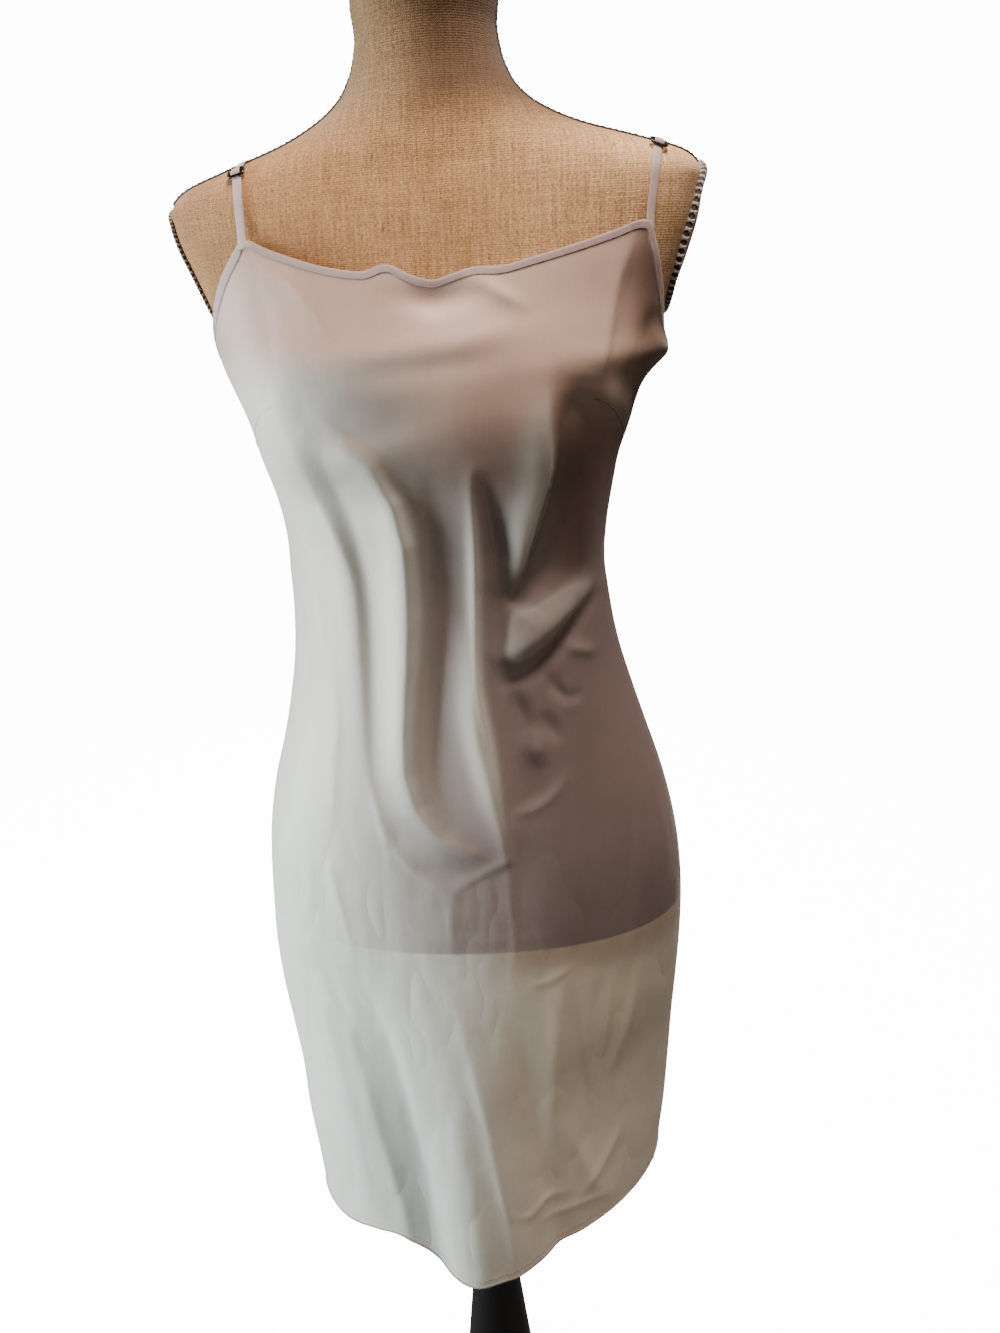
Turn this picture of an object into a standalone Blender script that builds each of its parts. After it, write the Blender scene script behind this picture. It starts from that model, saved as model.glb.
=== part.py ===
"""A satin slip dress with spaghetti straps, worn by a limbless linen-covered dress form on a black stand.

Metres, +Z up, the floor at z = 0. The front faces -Y and +X is to the right of someone who looks at
the front, so "left" and "right" are that person's. Every level of the form and of the dress is a
superellipse about the pole's axis, read from the two tables of sections. The dress is a thin wall on
those sections, moved in and out by its folds, and it stays just clear of the form.
"""

import math

import bmesh
import bpy
import numpy as np
from mathutils import Matrix, Vector

GAP = 0.0003  # between pieces that touch
CLOTH_WALL = 0.0014
CLOTH_CLEAR = 0.0012  # the least room between the cloth's inner face and the form
BINDING_WIDTH = 0.0056
BINDING_WALL = 0.0020
BINDING_PROUD = 0.0004  # how far the binding's face stands out from the panel's
STRAP_WIDTH = 0.007
STRAP_WALL = 0.0012
STRAP_END_CLEAR = 0.0012  # from a strap's end, along its middle, to the edge that it is sewn to

SLIDER_WIDTH = 0.0125
SLIDER_LENGTH = 0.009
SLIDER_BAR = 0.0015
SLIDER_LIFT = 0.0024  # the slider's underside over the form

SHOULDER_TILT = 0.034  # the cover's rise to the right, per metre, at the shoulders
TILT_FROM = 1.33
TILT_TO = 1.40

UNDERARM_Z = 1.286
ARMHOLE_SCOOP = 1.35  # over 1, the armhole drops faster near its corner
BINDING_STRETCH = 1.8  # the most that a slope may add to the binding's height
FORM_BOTTOM_Z = 0.827

BASE_RADIUS = 0.160
BASE_EDGE = 0.010
POLE_RADIUS = 0.0175
PLATE_HALF_WIDTH = 0.160
PLATE_HALF_DEPTH = 0.092
PLATE_THICKNESS = 0.008
ARM_PLATE_Z = 1.356
ARM_PLATE_HALF_HEIGHT = 0.044
ARM_PLATE_HALF_DEPTH = 0.032
ARM_PLATE_THICKNESS = 0.002
ARM_PLATE_LIFT = 0.0015

ROUND_STEPS = 40
FORM_STEPS = 40
# The panels' steps, by the side that they face: -1 is the front and 1 the back.
SIDE_STEPS = {-1: 6, 1: 6}
NECK_STEPS = {-1: 20, 1: 12}
PANEL_ROWS = {-1: 34, 1: 24}
END_TURN = 0.004  # the angle that clears the end of the neck binding from the armhole's

# The form's sections. The exponent is the superellipse's: 2 is an ellipse, and more is squarer.
FORM_COLUMNS = ("z", "half_width", "front", "back", "exponent")
FORM_SECTIONS = (
    (1.530, 0.0438, 0.0465, 0.0465, 2.0),
    (1.527, 0.0458, 0.0485, 0.0485, 2.0),
    (1.490, 0.0480, 0.0490, 0.0500, 2.0),
    (1.470, 0.0532, 0.0520, 0.0550, 2.0),
    (1.455, 0.0628, 0.0580, 0.0620, 2.0),
    (1.443, 0.0782, 0.0630, 0.0680, 2.1),
    (1.430, 0.1060, 0.0680, 0.0730, 2.2),
    (1.417, 0.1475, 0.0720, 0.0770, 2.4),
    (1.408, 0.1735, 0.0740, 0.0790, 2.6),
    (1.398, 0.1845, 0.0770, 0.0820, 2.7),
    (1.385, 0.1838, 0.0810, 0.0860, 2.7),
    (1.370, 0.1812, 0.0850, 0.0900, 2.6),
    (1.350, 0.1745, 0.0900, 0.0940, 2.5),
    (1.325, 0.1650, 0.0980, 0.0970, 2.4),
    (1.300, 0.1560, 0.1080, 0.0970, 2.4),
    (1.275, 0.1460, 0.1165, 0.0950, 2.3),
    (1.250, 0.1365, 0.1185, 0.0920, 2.3),
    (1.220, 0.1275, 0.1130, 0.0880, 2.3),
    (1.190, 0.1220, 0.1030, 0.0830, 2.2),
    (1.160, 0.1175, 0.0950, 0.0800, 2.2),
    (1.130, 0.1155, 0.0880, 0.0800, 2.2),
    (1.100, 0.1180, 0.0880, 0.0820, 2.2),
    (1.060, 0.1265, 0.0905, 0.0875, 2.2),
    (1.020, 0.1385, 0.0940, 0.0950, 2.2),
    (0.980, 0.1515, 0.0975, 0.1030, 2.2),
    (0.940, 0.1630, 0.1010, 0.1090, 2.2),
    (0.900, 0.1715, 0.1030, 0.1130, 2.2),
    (0.860, 0.1745, 0.1035, 0.1130, 2.2),
    (0.832, 0.1735, 0.1040, 0.1120, 2.2),
    (0.827, 0.1695, 0.1000, 0.1080, 2.2),
)

# The dress's outer face, before its folds. The cloth hangs a little further left at the waist.
DRESS_COLUMNS = ("z", "left", "right", "front", "back", "exponent")
DRESS_SECTIONS = (
    (1.400, 0.1895, 0.1895, 0.0830, 0.0870, 2.7),
    (1.375, 0.1865, 0.1865, 0.0885, 0.0930, 2.6),
    (1.350, 0.1795, 0.1790, 0.0960, 0.0985, 2.5),
    (1.320, 0.1700, 0.1685, 0.1050, 0.1015, 2.4),
    (1.300, 0.1640, 0.1630, 0.1120, 0.1020, 2.4),
    (1.286, 0.1605, 0.1625, 0.1160, 0.1015, 2.4),
    (1.272, 0.1560, 0.1520, 0.1195, 0.1010, 2.3),
    (1.250, 0.1475, 0.1405, 0.1225, 0.0990, 2.3),
    (1.220, 0.1400, 0.1312, 0.1200, 0.0960, 2.3),
    (1.190, 0.1330, 0.1255, 0.1130, 0.0920, 2.2),
    (1.160, 0.1295, 0.1210, 0.1060, 0.0895, 2.2),
    (1.130, 0.1305, 0.1190, 0.1010, 0.0890, 2.2),
    (1.100, 0.1315, 0.1225, 0.0990, 0.0900, 2.2),
    (1.060, 0.1355, 0.1300, 0.0985, 0.0935, 2.2),
    (1.020, 0.1438, 0.1420, 0.1000, 0.0990, 2.2),
    (0.985, 0.1530, 0.1535, 0.1020, 0.1065, 2.2),
    (0.950, 0.1640, 0.1652, 0.1045, 0.1120, 2.2),
    (0.910, 0.1730, 0.1758, 0.1065, 0.1160, 2.2),
    (0.870, 0.1780, 0.1828, 0.1075, 0.1175, 2.2),
    (0.830, 0.1808, 0.1858, 0.1080, 0.1175, 2.2),
    (0.790, 0.1835, 0.1858, 0.1100, 0.1180, 2.1),
    (0.745, 0.1822, 0.1835, 0.1120, 0.1190, 2.1),
    (0.700, 0.1792, 0.1806, 0.1140, 0.1200, 2.0),
    (0.650, 0.1750, 0.1780, 0.1160, 0.1215, 2.0),
    (0.600, 0.1742, 0.1752, 0.1180, 0.1230, 2.0),
    (0.550, 0.1705, 0.1705, 0.1195, 0.1245, 2.0),
    (0.480, 0.1665, 0.1650, 0.1210, 0.1260, 2.0),
)

# The finished edges of the cloth, as heights over x. Each runs from one strap's outer side to the
# other's, and the armholes go on from there.
EDGE_COLUMNS = ("x", "z")
FRONT_EDGE = (
    (-0.1225, 1.3685),
    (-0.1155, 1.3690),
    (-0.1040, 1.3632),
    (-0.0890, 1.3570),
    (-0.0720, 1.3510),
    (-0.0530, 1.3465),
    (-0.0400, 1.3450),
    (-0.0215, 1.3480),
    (-0.0080, 1.3415),
    (0.0050, 1.3380),
    (0.0160, 1.3405),
    (0.0290, 1.3440),
    (0.0500, 1.3445),
    (0.0710, 1.3490),
    (0.1070, 1.3575),
    (0.1240, 1.3620),
    (0.1400, 1.3665),
    (0.1470, 1.3660),
)
BACK_EDGE = (
    (-0.1035, 1.3200),
    (-0.0965, 1.3205),
    (-0.0500, 1.3140),
    (0.0100, 1.3110),
    (0.0650, 1.3150),
    (0.1125, 1.3225),
    (0.1195, 1.3220),
)
FRONT_HEM = (
    (-0.1660, 0.4980),
    (-0.1300, 0.5050),
    (-0.0950, 0.5180),
    (-0.0700, 0.5230),
    (-0.0500, 0.5120),
    (-0.0320, 0.4990),
    (-0.0120, 0.4900),
    (0.0120, 0.4905),
    (0.0350, 0.4930),
    (0.0520, 0.5020),
    (0.0720, 0.5140),
    (0.0950, 0.5230),
    (0.1200, 0.5300),
    (0.1450, 0.5370),
    (0.1650, 0.5420),
)
HEM_HALF_WIDTHS = (0.1660, 0.1650)  # to the left and to the right
BACK_HEM = (
    (-0.1660, 0.4980),
    (-0.0900, 0.5050),
    (-0.0200, 0.5130),
    (0.0500, 0.5120),
    (0.1200, 0.5290),
    (0.1650, 0.5420),
)

# The largest folds, each along the straight runs between its points. Its height goes evenly from the
# start's to the end's, below zero in a trough. The width is where it has fallen to a third.
FOLD_COLUMNS = ("name", "start", "end", "width", "points")
FRONT_FOLDS = (
    ("long ridge", 0.0060, 0.0040, 0.013,
     ((-0.082, 1.243), (-0.051, 1.163), (-0.058, 1.021), (-0.030, 0.950))),
    ("long ridge foot", 0.0040, 0.0020, 0.013, ((-0.030, 0.950), (0.000, 0.937), (0.024, 0.926))),
    ("centre trough", -0.0060, -0.0080, 0.015, ((-0.030, 1.200), (-0.022, 1.090), (-0.016, 0.985))),
    ("narrow ridge", 0.0040, 0.0030, 0.010, ((0.014, 1.224), (0.008, 1.120), (0.019, 1.005), (0.026, 0.930))),
    ("left ridge", 0.0020, 0.0030, 0.010,
     ((-0.098, 1.234), (-0.077, 1.163), (-0.076, 1.060), (-0.065, 0.930))),
    ("bust ridge", 0.0030, 0.0050, 0.013, ((0.061, 1.256), (0.048, 1.177), (0.040, 1.140))),
    ("bust trough", -0.0040, -0.0080, 0.011, ((0.081, 1.256), (0.066, 1.190), (0.044, 1.138))),
    ("waist ridge", 0.0060, 0.0010, 0.011, ((0.026, 1.106), (0.060, 1.130), (0.094, 1.148))),
    ("waist trough", -0.0070, -0.0010, 0.011, ((0.028, 1.080), (0.060, 1.095), (0.092, 1.128))),
    ("cowl pocket", -0.0030, -0.0030, 0.010, ((-0.030, 1.326), (0.030, 1.324))),
    ("cowl ridge", 0.0020, 0.0020, 0.010, ((-0.060, 1.300), (0.050, 1.298))),
    ("left dart", -0.0020, 0.0000, 0.008, ((-0.144, 1.236), (-0.120, 1.262))),
    ("right dart", -0.0020, 0.0000, 0.008, ((0.134, 1.228), (0.112, 1.258))),
    ("underarm kink", 0.0000, 0.0040, 0.010, ((0.144, 1.290), (0.160, 1.285))),
    ("lap crease", -0.0020, -0.0020, 0.012, ((-0.062, 0.950), (-0.013, 0.897), (0.026, 0.922))),
    ("skirt flute", 0.0000, 0.0150, 0.038, ((-0.004, 0.780), (-0.003, 0.620), (-0.002, 0.480))),
    ("skirt crease left", 0.0010, 0.0050, 0.016, ((-0.120, 0.900), (-0.090, 0.740), (-0.062, 0.520))),
    ("skirt crease right", 0.0010, 0.0040, 0.016, ((0.076, 0.800), (0.066, 0.560))),
    ("skirt hollow left", 0.0000, -0.0050, 0.016, ((-0.058, 0.790), (-0.046, 0.480))),
    ("skirt hollow right", 0.0000, -0.0050, 0.016, ((0.046, 0.790), (0.076, 0.480))),
)
BACK_FOLDS = (
    ("waist drape", -0.0040, -0.0030, 0.014, ((-0.060, 1.130), (0.000, 1.112), (0.062, 1.134))),
    ("waist roll", 0.0040, 0.0030, 0.014, ((-0.066, 1.092), (0.010, 1.080), (0.064, 1.098))),
    ("right ridge", 0.0010, 0.0050, 0.014, ((0.050, 1.240), (0.038, 1.120), (0.046, 1.000))),
    ("left ridge", 0.0010, 0.0035, 0.012, ((-0.066, 1.230), (-0.050, 1.110), (-0.054, 1.010))),
    ("skirt flute left", 0.0000, 0.0110, 0.026, ((-0.062, 0.800), (-0.072, 0.640), (-0.082, 0.480))),
    ("skirt flute right", 0.0000, 0.0120, 0.028, ((0.046, 0.800), (0.056, 0.640), (0.068, 0.480))),
    ("skirt hollow", 0.0000, -0.0060, 0.024, ((-0.008, 0.800), (-0.006, 0.480))),
)

# The straps run round the shoulder by angle, from the front corner over the top to the back corner.
STRAP_CENTRE_Z = 1.330
STRAP_COLUMNS = ("degrees", "left_x", "right_x", "lift")
STRAP_ROUTE = (
    (158.0, -0.1186, 0.1432, 0.0036),
    (132.0, -0.1222, 0.1495, 0.0010),
    (112.0, -0.1250, 0.1535, 0.0009),
    (90.0, -0.1265, 0.1550, 0.0009),
    (40.0, -0.1200, 0.1430, 0.0009),
    (10.0, -0.1090, 0.1285, 0.0012),
    (-12.0, -0.0998, 0.1158, 0.0040),
)
SLIDER_ANGLES = {-1: 125.0, 1: 120.0}  # the slides' places along the straps, left and right
STRAP_END_HALF = 2.6  # degrees from the slider's middle to each strap's end, inside its window

# Outlines of the turned pieces, as radius and height.
POLE_OUTLINE = (
    (0.0, FORM_BOTTOM_Z - PLATE_THICKNESS - 2 * GAP),
    (0.045, FORM_BOTTOM_Z - PLATE_THICKNESS - 2 * GAP),
    (0.045, 0.808),
    (0.022, 0.798),
    (POLE_RADIUS, 0.780),
    (POLE_RADIUS, 0.420),
    (0.0205, 0.375),
    (0.0273, 0.311),
    (0.0328, 0.256),
    (0.0410, 0.180),
    (0.0540, 0.100),
    (0.0720, 0.0500),
    (0.0950, 0.0253),
    (0.0, 0.0253),
)
BASE_OUTLINE = (
    (0.0, 0.025),
    (0.098, 0.025),
    (0.128, 0.0172),
    (0.153, 0.0125),
    (BASE_RADIUS, BASE_EDGE - 0.003),
    (BASE_RADIUS, 0.001),
    (BASE_RADIUS - 0.001, 0.0),
    (0.0, 0.0),
)

MATERIAL_LOOKS = {
    "satin": {"colour": (0.53, 0.44, 0.40), "roughness": 0.38, "metallic": 0.0},
    "satin_binding": {"colour": (0.54, 0.44, 0.42), "roughness": 0.45, "metallic": 0.0},
    "linen": {"colour": (0.50, 0.34, 0.21), "roughness": 0.92, "metallic": 0.0},
    "slider_metal": {"colour": (0.72, 0.68, 0.64), "roughness": 0.25, "metallic": 1.0},
    "stand_black": {"colour": (0.012, 0.012, 0.013), "roughness": 0.45, "metallic": 0.0},
}


def material(name):
    """The Principled material of one finish."""
    made = bpy.data.materials.get(name)
    if made:
        return made
    look = MATERIAL_LOOKS[name]
    made = bpy.data.materials.new(name)
    made.use_nodes = True
    shader = made.node_tree.nodes["Principled BSDF"]
    shader.inputs["Base Color"].default_value = (*look["colour"], 1.0)
    shader.inputs["Roughness"].default_value = look["roughness"]
    shader.inputs["Metallic"].default_value = look["metallic"]
    made.diffuse_color = (*look["colour"], 1.0)
    return made


def finish(name, mesh, finish_name):
    """Puts a mesh into the scene as one smooth-shaded object."""
    mesh.materials.append(material(finish_name))
    mesh.shade_smooth()
    mesh.set_sharp_from_angle(angle=math.radians(35))
    made = bpy.data.objects.new(name, mesh)
    bpy.context.collection.objects.link(made)
    return made


def column(rows, columns, name):
    return np.array([row[columns.index(name)] for row in rows])


def smooth_at(where, places, values):
    """A cubic Hermite curve through the values, with each slope from the two neighbours."""
    order = np.argsort(places)
    places = places[order]
    values = values[order]
    slopes = np.gradient(values, places)
    where = np.clip(where, places[0], places[-1])
    low = np.clip(np.searchsorted(places, where) - 1, 0, len(places) - 2)
    step = places[low + 1] - places[low]
    u = (where - places[low]) / step
    rise = values[low + 1] - values[low]
    start = slopes[low] * step
    end = slopes[low + 1] * step
    return values[low] + u * (start + u * (3 * rise - 2 * start - end + u * (start + end - 2 * rise)))


def section(rows, columns, z, name):
    return smooth_at(z, column(rows, columns, "z"), column(rows, columns, name))


def form_section(z, name):
    return section(FORM_SECTIONS, FORM_COLUMNS, z, name)


def dress_section(z, name):
    return section(DRESS_SECTIONS, DRESS_COLUMNS, z, name)


def ease(value, start, end):
    u = np.clip((value - start) / (end - start), 0.0, 1.0)
    return u * u * (3 - 2 * u)


def tilted(points):
    """The points with the shoulders' slight rise to the right."""
    moved = np.array(points, float)
    moved[..., 2] += SHOULDER_TILT * moved[..., 0] * ease(moved[..., 2], TILT_FROM, TILT_TO)
    return moved


def superellipse(angle, half_width, depth, exponent):
    """The point at an angle from the front or back centre: sine and cosine to the power 2/exponent."""
    across = np.sign(np.sin(angle)) * np.abs(np.sin(angle)) ** (2 / exponent) * half_width
    along = np.sign(np.cos(angle)) * np.abs(np.cos(angle)) ** (2 / exponent) * depth
    return across, along


def dress_base(angle, z, facing):
    """The dress's outer face before its folds, and its level normal. facing is -1 in front, 1 behind."""
    left = dress_section(z, "left")
    right = dress_section(z, "right")
    half_width = np.where(angle < 0, left, right)
    depth = dress_section(z, "front" if facing < 0 else "back")
    exponent = dress_section(z, "exponent")
    across, along = superellipse(angle, half_width, depth, exponent)
    points = np.stack([across, facing * along, z], axis=-1)
    slope_x = np.sign(across) * np.abs(across / half_width) ** (exponent - 1) / half_width
    slope_y = facing * np.abs(along / depth) ** (exponent - 1) / depth
    normals = np.stack([slope_x, slope_y, np.zeros_like(slope_x)], axis=-1)
    return points, normals / np.linalg.norm(normals, axis=-1, keepdims=True)


def form_level(points):
    """How far out a point lies on the form's section at its height: 1 is on the cover."""
    x, y, z = points[..., 0], points[..., 1], points[..., 2]
    exponent = form_section(z, "exponent")
    depth = np.where(y < 0, form_section(z, "front"), form_section(z, "back"))
    return (np.abs(x) / form_section(z, "half_width")) ** exponent + (np.abs(y) / depth) ** exponent


def room_inside(points, normals):
    """How far each point may move in along its normal before it meets the form, by halving."""
    near = np.zeros(points.shape[:-1])
    far = np.full(points.shape[:-1], 0.060)
    for _ in range(24):
        middle = (near + far) / 2
        outside = form_level(points - normals * middle[..., None]) > 1.0
        outside |= points[..., 2] < FORM_BOTTOM_Z
        near = np.where(outside, middle, near)
        far = np.where(outside, far, middle)
    return near


def fold_height(x, z, folds):
    """The folds' sum at a place: each is its height there times a bell of the distance to its runs."""
    total = np.zeros_like(x)
    for row in folds:
        fold = dict(zip(FOLD_COLUMNS, row))
        points = fold["points"]
        lengths = [math.dist(*pair) for pair in zip(points, points[1:])]
        nearest = np.full(x.shape, np.inf)
        share = np.zeros_like(x)
        passed = 0.0
        for (start_x, start_z), (end_x, end_z), length in zip(points, points[1:], lengths):
            run_x = (end_x - start_x) / length
            run_z = (end_z - start_z) / length
            along = np.clip((x - start_x) * run_x + (z - start_z) * run_z, 0.0, length)
            distance = np.hypot(x - start_x - along * run_x, z - start_z - along * run_z)
            share = np.where(distance < nearest, (passed + along) / sum(lengths), share)
            nearest = np.minimum(nearest, distance)
            passed += length
        height = fold["start"] + (fold["end"] - fold["start"]) * share
        total += height * np.exp(-((nearest / fold["width"]) ** 2))
    return total


def cloth_face(angle, z, facing):
    """The dress's outer face with its folds, and its level normals, just clear of the form."""
    points, normals = dress_base(angle, z, facing)
    folds = FRONT_FOLDS if facing < 0 else BACK_FOLDS
    height = fold_height(points[..., 0], z, folds)
    height *= ease(np.abs(points[..., 1]), 0.0, 0.030)
    height = np.maximum(height, CLOTH_WALL + CLOTH_CLEAR - room_inside(points, normals))
    points = points + normals * height[..., None]
    points[..., 1] += facing * GAP / 2
    return points, normals


def corner_angle(x, z):
    half_width = dress_section(np.array(z), "left" if x < 0 else "right")
    exponent = dress_section(np.array(z), "exponent")
    return math.copysign(math.asin(float((abs(x) / half_width) ** (exponent / 2))), x)


def edge_height(angle, facing):
    """The finished top edge over the angle: the neckline between the corners, the armholes outside."""
    rows = FRONT_EDGE if facing < 0 else BACK_EDGE
    xs = column(rows, EDGE_COLUMNS, "x")
    zs = column(rows, EDGE_COLUMNS, "z")
    angles = np.array([corner_angle(x, z) for x, z in rows])
    neckline = smooth_at(angle, angles, zs)
    left_share = np.clip((angle - angles[0]) / (-math.pi / 2 - angles[0]), 0.0, 1.0)
    right_share = np.clip((angle - angles[-1]) / (math.pi / 2 - angles[-1]), 0.0, 1.0)
    left_side = zs[0] + (UNDERARM_Z - zs[0]) * (1 - (1 - left_share) ** ARMHOLE_SCOOP)
    right_side = zs[-1] + (UNDERARM_Z - zs[-1]) * (1 - (1 - right_share) ** ARMHOLE_SCOOP)
    return np.where(angle < angles[0], left_side, np.where(angle > angles[-1], right_side, neckline))


def edge_drop(angle, facing):
    """The binding's height over the angle: its width over the cosine of the edge's slope."""
    step = 0.02
    low, _ = dress_base(angle - step, edge_height(angle - step, facing), facing)
    high, _ = dress_base(angle + step, edge_height(angle + step, facing), facing)
    run = high - low
    level = np.hypot(run[..., 0], run[..., 1])
    return BINDING_WIDTH * np.minimum(np.hypot(level, run[..., 2]) / level, BINDING_STRETCH)


def hem_height(angle, facing):
    rows = FRONT_HEM if facing < 0 else BACK_HEM
    half_width = np.where(angle < 0, HEM_HALF_WIDTHS[0], HEM_HALF_WIDTHS[1])
    x = np.sin(angle) * half_width
    return smooth_at(x, column(rows, EDGE_COLUMNS, "x"), column(rows, EDGE_COLUMNS, "z"))


def armhole_angles(facing, side):
    """The columns from the side seam up the armhole, and one more across the strap."""
    rows = FRONT_EDGE if facing < 0 else BACK_EDGE
    outer, inner = (rows[0], rows[1]) if side < 0 else (rows[-1], rows[-2])
    angles = np.linspace(side * math.pi / 2, corner_angle(*outer), SIDE_STEPS[facing] + 1)
    return np.append(angles, corner_angle(*inner))


def neck_angles(facing):
    """The columns between the straps."""
    rows = FRONT_EDGE if facing < 0 else BACK_EDGE
    return np.linspace(corner_angle(*rows[1]), corner_angle(*rows[-2]), NECK_STEPS[facing] + 1)


def panel_angles(facing):
    """All of a panel's columns, from the left side seam to the right."""
    left = armhole_angles(facing, -1)
    right = armhole_angles(facing, 1)[::-1]
    return np.concatenate([left, neck_angles(facing)[1:-1], right])


def wall(name, outer, inner, finish_name):
    """A closed wall from two grids of points: both faces, and a rim round their four borders."""
    rows, columns = outer.shape[:2]
    count = rows * columns
    index = np.arange(count).reshape(rows, columns)
    corners = [index[:-1, :-1], index[1:, :-1], index[1:, 1:], index[:-1, 1:]]
    quads = np.stack(corners, axis=-1).reshape(-1, 4)
    border = np.concatenate([index[0, :-1], index[:-1, -1], index[-1, :0:-1], index[:0:-1, 0]])
    following = np.roll(border, -1)
    rim = np.stack([border, following, following + count, border + count], axis=-1)
    faces = np.concatenate([quads, quads[:, ::-1] + count, rim])
    points = np.concatenate([outer.reshape(-1, 3), inner.reshape(-1, 3)])
    mesh = bpy.data.meshes.new(name)
    mesh.from_pydata(points.tolist(), [], faces.tolist())
    shape = bmesh.new()
    shape.from_mesh(mesh)
    bmesh.ops.recalc_face_normals(shape, faces=shape.faces)
    if shape.calc_volume(signed=True) < 0:
        bmesh.ops.reverse_faces(shape, faces=shape.faces)
    shape.to_mesh(mesh)
    shape.free()
    return finish(name, mesh, finish_name)


def dress_panel(name, facing):
    """A front or back from under its bindings to the hem, in even steps down each column."""
    angle = panel_angles(facing)
    drop = edge_drop(angle, facing)
    top = edge_height(angle, facing) - drop - GAP * drop / BINDING_WIDTH
    bottom = hem_height(angle, facing)
    share = np.linspace(0.0, 1.0, PANEL_ROWS[facing] + 1)[:, None]
    z = top + (bottom - top) * share
    outer, normals = cloth_face(np.broadcast_to(angle, z.shape), z, facing)
    return wall(name, tilted(outer), tilted(outer - normals * CLOTH_WALL), "satin")


def bound_strip(angle, facing):
    """Two rows along the finished edge, a binding's width apart, and their normals."""
    top = edge_height(angle, facing)
    z = np.stack([top, top - edge_drop(angle, facing)])
    outer, normals = cloth_face(np.broadcast_to(angle, z.shape), z, facing)
    return outer + normals * BINDING_PROUD, normals


def neck_binding(name, facing):
    """The neckline's binding, from one armhole binding to the other."""
    angle = neck_angles(facing)
    angle[0] += END_TURN
    angle[-1] -= END_TURN
    outer, normals = bound_strip(angle, facing)
    return wall(name, tilted(outer), tilted(outer - normals * BINDING_WALL), "satin_binding")


def armhole_binding(name, side):
    """One binding from the front strap under the arm to the back strap."""
    front, front_normals = bound_strip(armhole_angles(-1, side), -1)
    back, back_normals = bound_strip(armhole_angles(1, side), 1)
    outer = np.concatenate([front[:, ::-1], back], axis=1)
    normals = np.concatenate([front_normals[:, ::-1], back_normals], axis=1)
    return wall(name, tilted(outer), tilted(outer - normals * BINDING_WALL), "satin_binding")


def strap_points(side, degrees, lift_more=0.0):
    """Points of a strap's underside and their outward normals, by halving along each ray."""
    route = {name: column(STRAP_ROUTE, STRAP_COLUMNS, name) for name in STRAP_COLUMNS}
    x = smooth_at(degrees, route["degrees"], route["left_x" if side < 0 else "right_x"])
    lift = smooth_at(degrees, route["degrees"], route["lift"]) + lift_more
    ray = np.stack([np.zeros_like(x), np.cos(np.radians(degrees)), np.sin(np.radians(degrees))], axis=-1)
    start = np.stack([x, np.zeros_like(x), np.full_like(x, STRAP_CENTRE_Z)], axis=-1)
    near = np.zeros_like(x)
    far = np.full_like(x, 0.140)
    for _ in range(30):
        middle = (near + far) / 2
        inside = form_level(start + ray * middle[:, None]) < 1.0
        near = np.where(inside, middle, near)
        far = np.where(inside, far, middle)
    points = start + ray * near[:, None]
    step = 0.0005
    slopes = [form_level(points + step * axis) - form_level(points - step * axis) for axis in np.eye(3)]
    normals = np.stack(slopes, axis=-1)
    normals /= np.linalg.norm(normals, axis=-1, keepdims=True)
    return points + normals * lift[:, None], normals


def strap_end(side, facing):
    """The angle where a strap comes down to the finished edge that it is sewn to, by halving."""
    edge = FRONT_EDGE if facing < 0 else BACK_EDGE
    corner = edge[:2] if side < 0 else edge[-2:]
    height = max(z for _, z in corner) + STRAP_END_CLEAR
    high = SLIDER_ANGLES[side]
    low = STRAP_ROUTE[0 if facing < 0 else -1][0]
    for _ in range(30):
        middle = (high + low) / 2
        points, _ = strap_points(side, np.array([middle]))
        if points[0, 2] > height:
            high = middle
        else:
            low = middle
    return high


def strap(name, side, from_degrees, to_degrees, steps):
    """A flat strap over the shoulder: its route widened level with the form and given a thickness."""
    centre, normals = strap_points(side, np.linspace(from_degrees, to_degrees, steps + 1))
    along = np.gradient(centre, axis=0)
    across = np.cross(along, normals)
    across *= STRAP_WIDTH / 2 / np.linalg.norm(across, axis=-1, keepdims=True)
    under = np.stack([centre - across, centre + across])
    return wall(name, tilted(under + normals * STRAP_WALL), tilted(under), "satin_binding")


def slider(name, side):
    """A flat slide with two windows, lying on the top of the shoulder across the strap."""
    inner = SLIDER_WIDTH / 2 - SLIDER_BAR
    end = SLIDER_LENGTH / 2
    xs = (-SLIDER_WIDTH / 2, -inner, inner, SLIDER_WIDTH / 2)
    ys = (-end, -end + SLIDER_BAR, -SLIDER_BAR / 2, SLIDER_BAR / 2, end - SLIDER_BAR, end)
    shape = bmesh.new()
    grid = [[shape.verts.new((x, y, 0.0)) for x in xs] for y in ys]
    for row in range(len(ys) - 1):
        for place in range(len(xs) - 1):
            if place == 1 and row in (1, 3):
                continue  # a window
            corners = (grid[row][place], grid[row][place + 1], grid[row + 1][place + 1], grid[row + 1][place])
            shape.faces.new(corners)
    raised = bmesh.ops.extrude_face_region(shape, geom=shape.faces[:])
    tops = [item for item in raised["geom"] if isinstance(item, bmesh.types.BMVert)]
    bmesh.ops.translate(shape, verts=tops, vec=(0.0, 0.0, SLIDER_BAR))
    bmesh.ops.recalc_face_normals(shape, faces=shape.faces)
    points, normals = strap_points(side, SLIDER_ANGLES[side] + np.array([-1.0, 0.0, 1.0]))
    points = tilted(points)
    up = Vector(normals[1])
    along = Vector(points[2] - points[0]).normalized()
    across = along.cross(up).normalized()
    along = up.cross(across)
    place = points[1] + normals[1] * SLIDER_LIFT
    turn = Matrix((across, along, up)).transposed().to_4x4()
    bmesh.ops.transform(shape, matrix=Matrix.Translation(place) @ turn, verts=shape.verts)
    mesh = bpy.data.meshes.new(name)
    shape.to_mesh(mesh)
    shape.free()
    return finish(name, mesh, "slider_metal")


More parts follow.
